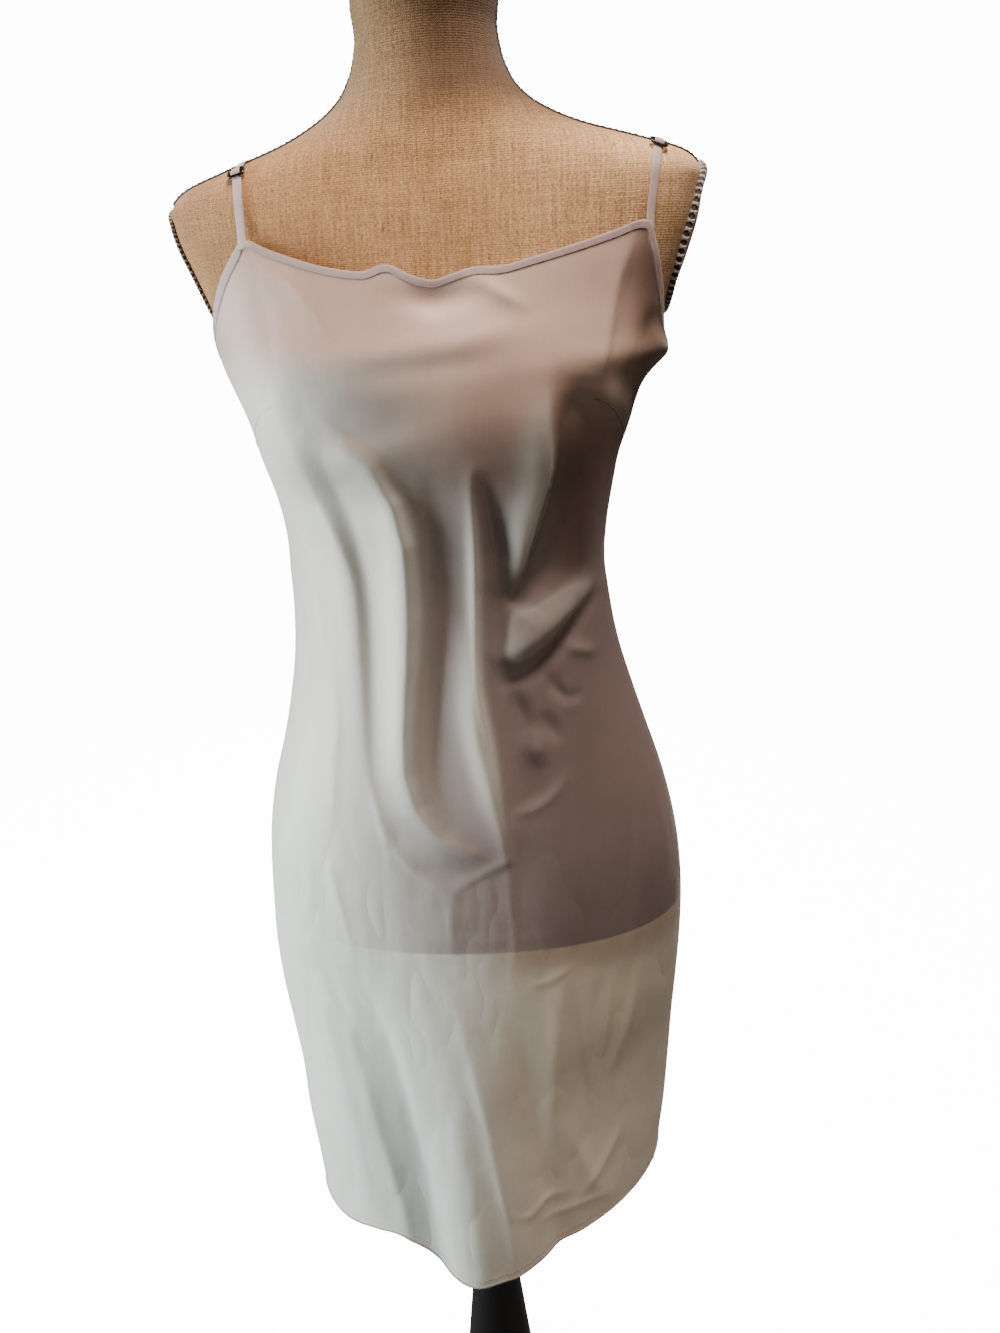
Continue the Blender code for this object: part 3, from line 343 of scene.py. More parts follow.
BACK_FOLDS = (
    ("waist drape", 14, 14, 2.0, (
        (-86, 1142, 0), (-60, 1130, -4), (0, 1112, -3.6), (62, 1134, -3), (84, 1144, 0))),
    ("waist roll", 10, 14, 1.0, (
        (-92, 1104, 0), (-66, 1092, 4), (10, 1080, 4), (64, 1098, 3), (88, 1108, 0))),
    ("right long ridge", 12, 8, 0.7, (
        (58, 1278, 0), (50, 1240, 2.4), (42, 1180, 5), (38, 1120, 6), (44, 1050, 5.5), (50, 985, 3),
        (58, 930, 0))),
    ("right long trough", 8, 10, 1.6, (
        (70, 1262, 0), (60, 1210, -2), (54, 1140, -3.5), (58, 1060, -3), (66, 1000, 0))),
    ("left long ridge", 9, 10, 0.7, (
        (-82, 1270, 0), (-68, 1230, 1.6), (-56, 1170, 3.6), (-50, 1110, 4.4), (-52, 1040, 3.6),
        (-58, 980, 0))),
    ("left long trough", 9, 8, 1.6, (
        (-64, 1240, 0), (-42, 1190, -2), (-36, 1110, -3), (-38, 1050, -2), (-42, 1000, 0))),
    ("middle fine ridge", 5, 5, 0.6, (
        (-4, 1240, 0), (0, 1190, 1.4), (4, 1120, 2.2), (2, 1060, 1.8), (-4, 1010, 0))),
    ("seat crease left", 5, 4, 0.5, ((-74, 1010, 0), (-60, 984, 1.4), (-40, 964, 1.6), (-18, 952, 0))),
    ("seat crease right", 4, 5, 0.5, ((70, 1002, 0), (58, 980, 1.2), (36, 958, 1.5), (12, 948, 0))),
    ("blade drag left", 6, 5, 0.7, ((-92, 1306, 0), (-76, 1290, 1.0), (-52, 1262, 1.2), (-34, 1236, 0))),
    ("blade drag right", 5, 6, 0.7, ((108, 1308, 0), (92, 1292, 1.0), (70, 1266, 1.2), (54, 1246, 0))),
    ("back cowl", 9, 9, 2.0, ((-52, 1296, 0), (-20, 1290, -1.4), (24, 1289, -1.6), (58, 1294, 0))),
    ("skirt flute left", 26, 30, 0.7, (
        (-56, 850, 0), (-62, 800, 2), (-68, 720, 5), (-73, 640, 8), (-79, 560, 10), (-82, 480, 11))),
    ("skirt flute right", 32, 26, 0.7, (
        (42, 850, 0), (46, 800, 2), (50, 720, 6), (56, 640, 9), (62, 560, 11), (68, 480, 12))),
    ("skirt hollow", 22, 20, 2.0, ((-10, 850, 0), (-8, 780, -1.5), (-7, 660, -4), (-6, 480, -6))),
    ("skirt fine edge left", 7, 9, 0.5, (
        (-112, 800, 0), (-110, 720, 1.6), (-114, 630, 2.2), (-118, 540, 0))),
    ("skirt fine edge right", 9, 7, 0.5, ((102, 810, 0), (106, 730, 1.6), (108, 640, 2.2), (112, 550, 0))),
    ("skirt middle edge", 6, 6, 0.5, ((8, 780, 0), (10, 710, 1.1), (6, 630, 1.5), (10, 550, 0))),
)
ROUTE_STEPS = 14  # straight steps of each fold's line
FOLD_REACH = 3.5  # widths from a fold's line to where it no longer counts

# The straps run round the shoulder by angle, from the front corner over the top to the back corner.
STRAP_CENTRE_Z = 1.330
STRAP_LIFT = 0.8 * MM
STRAP_COLUMNS = ("degrees", "left_x", "right_x", "lift")
STRAP_ROUTE = (
    (164.0, -0.1180, 0.1425, 6.6 * MM),
    (158.0, -0.1186, 0.1432, 5.6 * MM),
    (150.0, -0.1196, 0.1444, 3.2 * MM),
    (132.0, -0.1222, 0.1495, 0.9 * MM),
    (112.0, -0.1250, 0.1535, STRAP_LIFT),
    (90.0, -0.1265, 0.1550, STRAP_LIFT),
    (40.0, -0.1200, 0.1430, STRAP_LIFT),
    (10.0, -0.1090, 0.1285, 1.2 * MM),
    (-4.0, -0.1040, 0.1210, 4.2 * MM),
    (-12.0, -0.0998, 0.1158, 6.2 * MM),
)
STRAP_TUCK = 5.0 * MM  # how far a strap runs down over the binding that it is sewn to
SLIDER_ANGLES = {-1: 125.0, 1: 120.0}  # the slides' places along the straps, left and right
SLIDER_STRAP_RISE = 3.3 * MM  # how far the strap climbs to pass over a slide's bar
SLIDER_WIDTH = 12.5 * MM
SLIDER_LENGTH = 9.0 * MM
SLIDER_WIRE = 0.85 * MM
SLIDER_LIFT = 3.1 * MM

ARM_Z = 1.356
ARM_HALF_HEIGHT = 0.044
ARM_HALF_DEPTH = 0.032
BRAID_OUT = 1.9 * MM  # how far the braid's middle lies out from the form
BRAID_SIZES = {-1: (1.2 * MM, 66), 1: (2.1 * MM, 58)}  # the cord's radius and its wraps, left and right

SEAM_COLUMNS = ("z", "left_y", "right_y")
SEAM_ROUTE = (
    (1.400, -0.0262, -0.0180),
    (1.410, -0.0300, -0.0245),
    (1.426, -0.0302, -0.0242),
    (1.436, -0.0260, -0.0180),
    (1.450, -0.0180, -0.0100),
    (1.475, -0.0040, -0.0015),
    (1.526, 0.0030, 0.0040),
)

CAMERA_PLACE = Vector((0.0788, -0.7790, 1.3291))
CAMERA_TURN = math.radians(3.43)
CAMERA_DOWN = math.radians(20.55)
CAMERA_ROLL = math.radians(-2.47)
CAMERA_LENS = 27.0

# --------------------------------------------------------------------------------- sections and folds


def column(rows, columns, name):
    return np.array([row[columns.index(name)] for row in rows])


def smooth_at(where, places, values):
    """A cubic Hermite curve through the values, with each slope from the two neighbours."""
    order = np.argsort(places)
    places = places[order]
    values = values[order]
    slopes = np.gradient(values, places)
    where = np.clip(where, places[0], places[-1])
    low = np.clip(np.searchsorted(places, where) - 1, 0, len(places) - 2)
    step = places[low + 1] - places[low]
    u = (where - places[low]) / step
    rise = values[low + 1] - values[low]
    start = slopes[low] * step
    end = slopes[low + 1] * step
    return values[low] + u * (start + u * (3 * rise - 2 * start - end + u * (start + end - 2 * rise)))


def section(rows, columns, z, name):
    return smooth_at(z, column(rows, columns, "z"), column(rows, columns, name))


def form_section(z, name):
    return section(FORM_SECTIONS, FORM_COLUMNS, z, name)


def dress_section(z, name):
    return section(DRESS_SECTIONS, DRESS_COLUMNS, z, name)


def ease(value, start, end):
    """A smooth step: 3u^2 - 2u^3, with u the share of the way from start to end."""
    u = np.clip((value - start) / (end - start), 0.0, 1.0)
    return u * u * (3 - 2 * u)


def unit(vectors):
    return vectors / np.linalg.norm(vectors, axis=-1, keepdims=True)


def tilted(points):
    """The points with the shoulders' slight rise to the right."""
    moved = np.array(points, float)
    moved[..., 2] += SHOULDER_TILT * moved[..., 0] * ease(moved[..., 2], TILT_FROM, TILT_TO)
    return moved


def superellipse(angle, half_width, depth, exponent):
    """The point at an angle from the front or back centre: sine and cosine to the power 2/exponent."""
    across = np.sign(np.sin(angle)) * np.abs(np.sin(angle)) ** (2 / exponent) * half_width
    along = np.sign(np.cos(angle)) * np.abs(np.cos(angle)) ** (2 / exponent) * depth
    return across, along


def dress_half_width(x, z):
    """The section's half width on the side of x."""
    return np.where(x < 0, dress_section(z, "left"), dress_section(z, "right"))


def dress_base(angle, z, facing):
    """The dress's outer face before its folds, and its level normal."""
    half_width = dress_half_width(angle, z)
    depth = dress_section(z, "front" if facing < 0 else "back")
    exponent = dress_section(z, "exponent")
    across, along = superellipse(angle, half_width, depth, exponent)
    points = np.stack([across, facing * along, z], axis=-1)
    slope_x = np.sign(across) * np.abs(across / half_width) ** (exponent - 1) / half_width
    slope_y = facing * np.abs(along / depth) ** (exponent - 1) / depth
    return points, unit(np.stack([slope_x, slope_y, np.zeros_like(slope_x)], axis=-1))


def form_shape(y, z):
    """The form's half width, its depth on the side of y, and its exponent, at a height."""
    depth = np.where(y < 0, form_section(z, "front"), form_section(z, "back"))
    return form_section(z, "half_width"), depth, form_section(z, "exponent")


def form_level(points):
    """How far out a point lies on the form's section at its height: 1 is on the cover."""
    x, y, z = points[..., 0], points[..., 1], points[..., 2]
    half_width, depth, exponent = form_shape(y, z)
    return (np.abs(x) / half_width) ** exponent + (np.abs(y) / depth) ** exponent


def form_side(y, z):
    """How far out to the side the form reaches at y: its superellipse solved for x."""
    half_width, depth, exponent = form_shape(y, z)
    return half_width * (1 - (np.abs(y) / depth) ** exponent) ** (1 / exponent)


def form_normals(points):
    """The form's outward normals, from the slopes of its level."""
    step = 0.0005
    slopes = [form_level(points + step * axis) - form_level(points - step * axis) for axis in np.eye(3)]
    return unit(np.stack(slopes, axis=-1))


def halved(is_short, far, shape, rounds):
    """The reach at which a test turns false, by halving between zero and far."""
    low = np.zeros(shape)
    high = np.full(shape, far)
    for _ in range(rounds):
        middle = (low + high) / 2
        short = is_short(middle)
        low = np.where(short, middle, low)
        high = np.where(short, high, middle)
    return low


def room_inside(points, normals):
    """How far each point may move in along its normal before it meets the form.

    Below the form its lowest section goes on down, so that the answer stays smooth there.
    """
    def is_clear(reach):
        return form_level(points - normals * reach[..., None]) > 1.0

    return halved(is_clear, 0.060, points.shape[:-1], 16)


def fold_route(points):
    """Steps along a smooth curve through a fold's points, as x, z and height in metres."""
    knots = np.array(points, float) * MM
    lengths = np.linalg.norm(np.diff(knots[:, :2], axis=0), axis=1)
    reach = np.concatenate([[0.0], np.cumsum(lengths)])
    where = np.linspace(0.0, reach[-1], ROUTE_STEPS + 1)
    return np.stack([smooth_at(where, reach, knots[:, axis]) for axis in range(3)], axis=-1)


def fold_height(x, z, folds):
    """The folds' sum at each place.

    A fold is its height at the nearest point of its line, times exp(-(sqrt(q^2 + c^2) - c) / k), where
    q is the distance over the width on that side, c is the crest's roundness, and k makes it fall to
    1/e at q = 1.
    """
    total = np.zeros_like(x)
    for row in folds:
        fold = dict(zip(FOLD_COLUMNS, row))
        route = fold_route(fold["points"])
        reach = FOLD_REACH * max(fold["left"], fold["right"]) * MM
        near = (x > route[:, 0].min() - reach) & (x < route[:, 0].max() + reach)
        near &= (z > route[:, 1].min() - reach) & (z < route[:, 1].max() + reach)
        if not near.any():
            continue
        here_x, here_z = x[near], z[near]
        nearest = np.full(here_x.shape, np.inf)
        height = np.zeros_like(here_x)
        side = np.zeros_like(here_x)
        for (from_x, from_z, from_height), (run_x, run_z, rise) in zip(route, np.diff(route, axis=0)):
            share = ((here_x - from_x) * run_x + (here_z - from_z) * run_z) / (run_x**2 + run_z**2)
            share = np.clip(share, 0.0, 1.0)
            away_x = here_x - from_x - share * run_x
            away_z = here_z - from_z - share * run_z
            distance = np.hypot(away_x, away_z)
            closer = distance < nearest
            nearest = np.where(closer, distance, nearest)
            height = np.where(closer, from_height + share * rise, height)
            side = np.where(closer, run_x * away_z - run_z * away_x, side)
        crest = fold["crest"]
        q = nearest / (np.where(side > 0, fold["right"], fold["left"]) * MM)
        fall = (np.sqrt(q * q + crest * crest) - crest) / (math.sqrt(1 + crest * crest) - crest)
        total[near] += height * np.exp(-fall)
    return total


def cloth_face(angle, z, facing):
    """The dress's outer face with its folds, its level normals, and how far it is lifted off the form.

    The lift is the distance out from the form, and counts twice what a fold's own height adds to it, so that
    the ridges take the satin's pale colour as a painted highlight.
    """
    points, normals = dress_base(angle, z, facing)
    folds = FRONT_FOLDS if facing < 0 else BACK_FOLDS
    height = fold_height(points[..., 0], z, folds)
    height *= ease(np.abs(points[..., 1]), 0.0, SEAM_CALM)
    lift = 2.0 * np.maximum(height, 0.0)
    room = room_inside(points, normals)
    least = np.where(z > FORM_BOTTOM_Z - FORM_REACH, CLOTH_THICKNESS + CLOTH_CLEAR - room, -FREE_ROOM)
    over = (height - least) / CLOTH_SOFTENS
    height = least + CLOTH_SOFTENS * np.logaddexp(0.0, over)
    return points + normals * height[..., None], normals, height + room + lift


def angle_at(x, z):
    """The angle at which the dress's section passes x: the superellipse's formula turned round."""
    share = np.abs(x) / dress_half_width(x, z)
    return np.sign(x) * np.arcsin(share ** (dress_section(z, "exponent") / 2))


def corner_angle(x, z):
    return float(angle_at(np.array(x), np.array(z)))


def edge_rows(facing):
    return FRONT_EDGE if facing < 0 else BACK_EDGE


def edge_height(angle, facing):
    """The finished top edge over the angle: the neckline between the corners, the armholes outside."""
    rows = edge_rows(facing)
    zs = column(rows, EDGE_COLUMNS, "z")
    angles = np.array([corner_angle(x, z) for x, z in rows])
    neckline = smooth_at(angle, angles, zs)
    left_share = np.clip((angle - angles[0]) / (-math.pi / 2 - angles[0]), 0.0, 1.0)
    right_share = np.clip((angle - angles[-1]) / (math.pi / 2 - angles[-1]), 0.0, 1.0)
    scoop = 1.35  # over 1, the armhole drops faster near its corner
    left_side = zs[0] + (UNDERARM_Z - zs[0]) * (1 - (1 - left_share) ** scoop)
    right_side = zs[-1] + (UNDERARM_Z - zs[-1]) * (1 - (1 - right_share) ** scoop)
    return np.where(angle < angles[0], left_side, np.where(angle > angles[-1], right_side, neckline))


def edge_drop(angle, facing):
    """The binding's height over the angle: its width over the cosine of the edge's slope."""
    step = 0.02
    low, _ = dress_base(angle - step, edge_height(angle - step, facing), facing)
    high, _ = dress_base(angle + step, edge_height(angle + step, facing), facing)
    run = high - low
    level = np.hypot(run[..., 0], run[..., 1])
    return BINDING_WIDTH * np.minimum(np.hypot(level, run[..., 2]) / level, 1.8)


def hem_height(angle, facing):
    """The hem's height over the angle, read by how far to the side it lies."""
    rows = FRONT_HEM if facing < 0 else BACK_HEM
    x = np.sin(angle) * np.where(angle < 0, *HEM_HALF_WIDTHS)
    return smooth_at(x, column(rows, EDGE_COLUMNS, "x"), column(rows, EDGE_COLUMNS, "z"))


def armhole_angles(facing, side, steps=28):
    """The columns from the side seam up the armhole, and some more across the strap."""
    rows = edge_rows(facing)
    outer, inner = (rows[0], rows[1]) if side < 0 else (rows[-1], rows[-2])
    up = np.linspace(side * math.pi / 2, corner_angle(*outer), steps + 1)
    return np.append(up, np.linspace(corner_angle(*outer), corner_angle(*inner), 4)[1:])


def neck_angles(facing, steps=96):
    """The columns between the straps."""
    rows = edge_rows(facing)
    return np.linspace(corner_angle(*rows[1]), corner_angle(*rows[-2]), steps + 1)


def panel_angles(facing):
    """All of a panel's columns, from the left side seam to the right."""
    left = armhole_angles(facing, -1)
    right = armhole_angles(facing, 1)[::-1]
    return np.concatenate([left, neck_angles(facing)[1:-1], right])


# ------------------------------------------------------------------------------------- building meshes


def out_of(points, faces):
    """True when the faces of a closed mesh point out: the sum of its corners' signed volumes."""
    corners = np.concatenate([faces[:, [0, step, step + 1]] for step in range(1, faces.shape[1] - 1)])
    a, b, c = (points[corners[:, place]] for place in range(3))
    return np.einsum("ij,ij->", a, np.cross(b, c)) > 0


def placed(name, data):
    """An object of the scene that holds the data."""
    made = bpy.data.objects.new(name, data)
    bpy.context.scene.collection.objects.link(made)
    return made


def grid_quads(grid):
    """The four corners of each cell of a grid, of point numbers or of places."""
    return np.stack([grid[:-1, :-1], grid[1:, :-1], grid[1:, 1:], grid[:-1, 1:]], axis=2)


def ring_quads(index, loop=False):
    """Quads from each ring of point numbers to the next, and in a loop from the last to the first."""
    if loop:
        index = np.concatenate([index, index[:1]])
    after = np.roll(index, -1, axis=1)
    return np.stack([index[:-1], index[1:], after[1:], after[:-1]], axis=-1).reshape(-1, 4)


def mesh_object(name, points, faces, look, uv=None, masks=(), sharp=40.0):
    """A closed mesh piece with its faces out, from points and arrays of equal faces.

    uv is an array for each array of faces, with a place in metres for each corner. masks are pairs of a
    name and a value for each point.
    """
    points = points.reshape(-1, 3)
    turned = not out_of(points, faces[0])
    if turned:
        faces = [part[:, ::-1] for part in faces]
    mesh = bpy.data.meshes.new(name)
    mesh.from_pydata(points.tolist(), [], [face for part in faces for face in part.tolist()])
    if uv is not None:
        corners = [part[:, ::-1] if turned else part for part in uv]
        layer = mesh.uv_layers.new(name="cut")
        layer.data.foreach_set("uv", np.concatenate([part.ravel() for part in corners]).astype(np.float32))
    for title, values in masks:
        mask = mesh.attributes.new(title, "FLOAT", "POINT")
        mask.data.foreach_set("value", np.asarray(values, np.float32).ravel())
    mesh.shade_smooth()
    mesh.set_sharp_from_angle(angle=math.radians(sharp))
    mesh.materials.append(look)
    return placed(name, mesh)


def lengths_along(points, axis):
    """The length of the way from the first point along one axis of a grid."""
    steps = np.linalg.norm(np.diff(points, axis=axis), axis=-1)
    zero = np.zeros_like(np.take(steps, [0], axis=axis))
    return np.concatenate([zero, np.cumsum(steps, axis=axis)], axis=axis)


def cut_plan(points):
    """Each point's place on the cut cloth: the length across from the middle column, and down."""
    across = lengths_along(points, 1)
    middle = points.shape[1] // 2
    return np.stack([across - across[:, middle:middle + 1], -lengths_along(points, 0)], axis=-1)


def wall(name, outer, inner, look, masks=()):
    """A closed wall from two grids of points: both faces, and a rim round their four borders."""
    rows, columns = outer.shape[:2]
    count = rows * columns
    index = np.arange(count).reshape(rows, columns)
    quads = grid_quads(index).reshape(-1, 4)
    border = np.concatenate([index[0, :-1], index[:-1, -1], index[-1, :0:-1], index[:0:-1, 0]])
    following = np.roll(border, -1)
    rim = np.stack([border, following, following + count, border + count], axis=-1)
    faces = np.concatenate([quads, quads[:, ::-1] + count, rim])
    plan = cut_plan(outer).reshape(-1, 2)
    points = np.concatenate([outer.reshape(-1, 3), inner.reshape(-1, 3)])
    doubled = [(title, np.concatenate([values.ravel(), values.ravel()])) for title, values in masks]
    return mesh_object(name, points, [faces], look, uv=[plan[faces % count]], masks=doubled)


def rings(name, points, look, plan=None, loop=False, masks=()):
    """A closed surface of rings, each joined to the next, with a fan at both ends unless it is a loop."""
    count, steps = points.shape[:2]
    index = np.arange(count * steps).reshape(count, steps)
    faces = [ring_quads(index, loop)]
    flat = points.reshape(-1, 3)
    if not loop:
        flat = np.concatenate([flat, np.stack([points[0].mean(axis=0), points[-1].mean(axis=0)])])
        after = np.roll(index, -1, axis=1)
        first = np.full(steps, count * steps)
        top = np.stack([first, index[0], after[0]], axis=-1)
        bottom = np.stack([first + 1, after[-1], index[-1]], axis=-1)
        faces.append(np.concatenate([top, bottom]))
        masks = [(title, np.append(values.ravel(), [values[0].mean(), values[-1].mean()]))
                 for title, values in masks]
    uv = None
    if plan is not None:
        caps = np.zeros((2 * steps, 3, 2))
        for place, row in enumerate((0, -1)):
            ring = plan[row]
            pair = (ring[:-1], ring[1:]) if place == 0 else (ring[1:], ring[:-1])
            caps[place * steps:(place + 1) * steps] = np.stack([(ring[:-1] + ring[1:]) / 2, *pair], axis=1)
        uv = [grid_quads(plan).reshape(-1, 4, 2), caps]
    return mesh_object(name, flat, faces, look, uv=uv, masks=masks)


def tube_points(path, radius, sides=8, up=None, loop=False, flat=1.0):
    """Rings round a path: two directions square to it, times the cosine and sine, times the radius.

    The first direction is square to up, or is carried on from level. flat squeezes the second.
    """
    along = np.roll(path, -1, axis=0) - np.roll(path, 1, axis=0) if loop else np.gradient(path, axis=0)
    along = unit(along)
    guide = np.broadcast_to(np.array([0.0, 0.0, 1.0]) if up is None else up, along.shape)
    across = unit(np.cross(along, guide))
    raised = np.cross(across, along)
    turn = np.linspace(0.0, 2 * math.pi, sides, endpoint=False)
    radius = np.broadcast_to(radius, (len(path),))[:, None, None]
    spoke = across[:, None] * np.cos(turn)[:, None] + raised[:, None] * (flat * np.sin(turn))[:, None]
    return path[:, None] + radius * spoke


def evenly(path, pitch, *more):
    """Points a pitch apart along a path, and other values carried with them."""
    reach = lengths_along(path, 0)
    count = max(int(round(reach[-1] / pitch)), 2)
    where = (np.arange(count) + 0.5) * reach[-1] / count
    return [np.stack([np.interp(where, reach, item[:, axis]) for axis in range(3)], axis=-1)
            for item in (path, *more)]


def stitches(name, path, normals, look, pitch=2.4 * MM, length=1.8 * MM, radius=0.22 * MM):
    """A row of thread stitches along a path, each a small spindle sunk at both ends.

    A spindle is five rings of five points: the radius is the sine over its length, and its middle
    stands out along the normal by the sine too.
    """
    centre, out = evenly(path, pitch, normals)
    along = unit(np.gradient(centre, axis=0))
    out = unit(out - along * np.sum(out * along, axis=-1, keepdims=True))
    across = np.cross(along, out)
    share = np.linspace(0.0, 1.0, 5)
    swell = np.sin(np.pi * (0.08 + 0.84 * share))
    turn = np.linspace(0.0, 2 * math.pi, 5, endpoint=False)
    local_along = np.broadcast_to(((share - 0.5) * length)[:, None], (5, 5))
    local_across = radius * swell[:, None] * np.cos(turn)
    local_out = radius * swell[:, None] * np.sin(turn) + radius * (swell[:, None] - 0.4)
    points = (centre[:, None, None] + along[:, None, None] * local_along[..., None]
              + across[:, None, None] * local_across[..., None] + out[:, None, None] * local_out[..., None])
    index = np.arange(25).reshape(5, 5)
    sides = ring_quads(index)
    starts = (np.arange(len(centre)) * 25)[:, None, None]
    quads = (sides[None] + starts).reshape(-1, 4)
    caps = (np.stack([index[0], index[-1, ::-1]])[None] + starts).reshape(-1, 5)
    if not out_of(points[0].reshape(-1, 3), sides):
        quads, caps = quads[:, ::-1], caps[:, ::-1]
    mesh = bpy.data.meshes.new(name)
    mesh.from_pydata(points.reshape(-1, 3).tolist(), [], quads.tolist() + caps.tolist())
    mesh.shade_smooth()
    mesh.materials.append(look)
    return placed(name, mesh)


def belongs(piece, slot, *nodes):
    """The piece rides on the one body and stands for CAD nodes; slot is not used."""
    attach(piece, BODY)
    if nodes:
        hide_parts(*nodes)
    return piece


# ------------------------------------------------------------------------------------------- materials


def set_inputs(tree, made, inputs):
    """Each of a node's inputs linked to a socket, or filled with a value."""
    for key, value in inputs.items():
        if isinstance(value, bpy.types.NodeSocket):
            tree.links.new(value, made.inputs[key])
        else:
            made.inputs[key].default_value = value


def node(tree, kind, inputs=None, **settings):
    """A shader node with its settings and its inputs."""
    made = tree.nodes.new(kind)
    for key, value in settings.items():
        setattr(made, key, value)
    set_inputs(tree, made, inputs or {})
    return made


def math_node(tree, operation, *values):
    """The first two values joined by one operation, and then each further value."""
    made = node(tree, "ShaderNodeMath", dict(enumerate(values[:2])), operation=operation).outputs[0]
    for value in values[2:]:
        made = node(tree, "ShaderNodeMath", {0: made, 1: value}, operation=operation).outputs[0]
    return made


def scaled(tree, value, factor, offset):
    """The value times a factor, plus an offset."""
    made = node(tree, "ShaderNodeMath", {0: value, 1: factor, 2: offset}, operation="MULTIPLY_ADD")
    return made.outputs[0]


def swing(tree, value, share):
    """A noise's swing about its middle, times a share."""
    return scaled(tree, value, share, -0.5 * share)


def mix_colour(tree, share, first, second, blend="MIX"):
    inputs = {"Factor": share, "A": first, "B": second}
    return node(tree, "ShaderNodeMix", inputs, data_type="RGBA", blend_type=blend).outputs["Result"]


def span(tree, value, from_min, from_max, to_min=0.0, to_max=1.0, kind="SMOOTHSTEP"):
    """The value's place between two limits, spread over two others."""
    made = node(tree, "ShaderNodeMapRange", {
        "Value": value, "From Min": from_min, "From Max": from_max, "To Min": to_min, "To Max": to_max,
    }, interpolation_type=kind)
    return made.outputs["Result"]


def stretched(tree, vector, scale):
    return node(tree, "ShaderNodeMapping", {"Vector": vector, "Scale": scale}).outputs["Vector"]


def noise(tree, vector, scale, detail=3.0, roughness=0.55):
    made = node(tree, "ShaderNodeTexNoise", {
        "Vector": vector, "Scale": scale, "Detail": detail, "Roughness": roughness,
    })
    return made.outputs["Fac"]


def colour(red, green, blue):
    return (red, green, blue, 1.0)


def toned(tint, share):
    """A tint made darker or lighter."""
    return colour(*[part * share for part in tint])


def grey(tree, value):
    parts = {"Red": value, "Green": value, "Blue": value}
    return node(tree, "ShaderNodeCombineColor", parts).outputs["Color"]


def parts_of(tree, vector):
    return node(tree, "ShaderNodeSeparateXYZ", {"Vector": vector}).outputs


def cut_place(tree):
    """The place on the cut cloth, in metres."""
    return node(tree, "ShaderNodeUVMap", uv_map="cut").outputs["UV"]


def painted(tree, title):
    """A value kept on the mesh's points."""
    return node(tree, "ShaderNodeAttribute", attribute_name=title).outputs["Fac"]


def new_group(name, inputs, outputs):
    """An empty node group with named float or vector sockets, and its two end nodes."""
    group = bpy.data.node_groups.new(name, "ShaderNodeTree")
    kinds = {"float": "NodeSocketFloat", "vector": "NodeSocketVector"}
    for title, kind, value in inputs:
        socket = group.interface.new_socket(title, in_out="INPUT", socket_type=kinds[kind])
        if value is not None:
            socket.default_value = value
    for title in outputs:
        group.interface.new_socket(title, in_out="OUTPUT", socket_type=kinds["float"])
    return group, group.nodes.new("NodeGroupInput").outputs, group.nodes.new("NodeGroupOutput")


def use_group(tree, group, inputs):
    made = tree.nodes.new("ShaderNodeGroup")
    made.node_tree = group
    set_inputs(tree, made, inputs)
    return made.outputs


def weave_group():
    """Woven threads on a cut plan in metres: uneven warp and weft ribs, slubs, thread tone and flecks."""
    group, given, result = new_group(
        "weave",
        [("Place", "vector", None), ("Warp", "float", 1000.0), ("Weft", "float", 1000.0),
         ("Slub", "float", 0.5)],
        ["Height", "Tone", "Fleck"],
    )
    place = given["Place"]
    across = parts_of(group, place)
    wander = math_node(group, "MULTIPLY", noise(group, place, 160.0, 2.0), 0.9)
    ribs = []
    for axis, rate in (("X", "Warp"), ("Y", "Weft")):
        turns = math_node(group, "ADD", math_node(group, "MULTIPLY", across[axis], given[rate]), wander)
        wave = math_node(group, "SINE", math_node(group, "MULTIPLY", turns, 2 * math.pi))
        ribs.append(scaled(group, wave, 0.5, 0.5))
    warp_slub = noise(group, stretched(group, place, (1.0, 0.055, 1.0)), 520.0, 3.0, 0.7)
    weft_slub = noise(group, stretched(group, place, (0.05, 1.0, 1.0)), 460.0, 3.0, 0.7)
    grain = noise(group, place, 900.0, 2.0, 0.6)
    specks = noise(group, stretched(group, place, (1.0, 0.35, 1.0)), 210.0, 2.0, 0.5)
    lumps = math_node(group, "MULTIPLY", math_node(group, "SUBTRACT", warp_slub, 0.5), given["Slub"])
    height = math_node(group, "ADD", math_node(group, "MAXIMUM", *ribs), lumps)
    tone = math_node(group, "ADD", scaled(group, warp_slub, 0.62, 0.19), swing(group, weft_slub, 0.34),
                     swing(group, grain, 0.30))
    set_inputs(group, result, {"Height": height, "Tone": tone, "Fleck": span(group, specks, 0.66, 0.76)})
    return group


def handling_group():
    """Broad uneven tone and small smudges over any finish, from Object coordinates."""
    group, given, result = new_group(
        "handling", [("Place", "vector", None), ("Size", "float", 8.0)], ["Tone", "Smudge"]
    )
    broad = noise(group, given["Place"], given["Size"], 3.0, 0.5)
    fine = noise(group, given["Place"], math_node(group, "MULTIPLY", given["Size"], 7.0), 4.0, 0.6)
    tone = math_node(group, "ADD", scaled(group, broad, 0.7, 0.0), scaled(group, fine, 0.3, 0.0))
    set_inputs(group, result, {"Tone": tone, "Smudge": span(group, fine, 0.52, 0.78)})
    return group


WEAVE = weave_group()
HANDLING = handling_group()


def new_look(name):
    """A material, its tree, its Principled shader and its Object coordinates."""
    look = bpy.data.materials.new(name)
    look.use_nodes = True
    tree = look.node_tree
    shader = tree.nodes["Principled BSDF"]
    place = tree.nodes.new("ShaderNodeTexCoord").outputs["Object"]
    return look, tree, shader, place


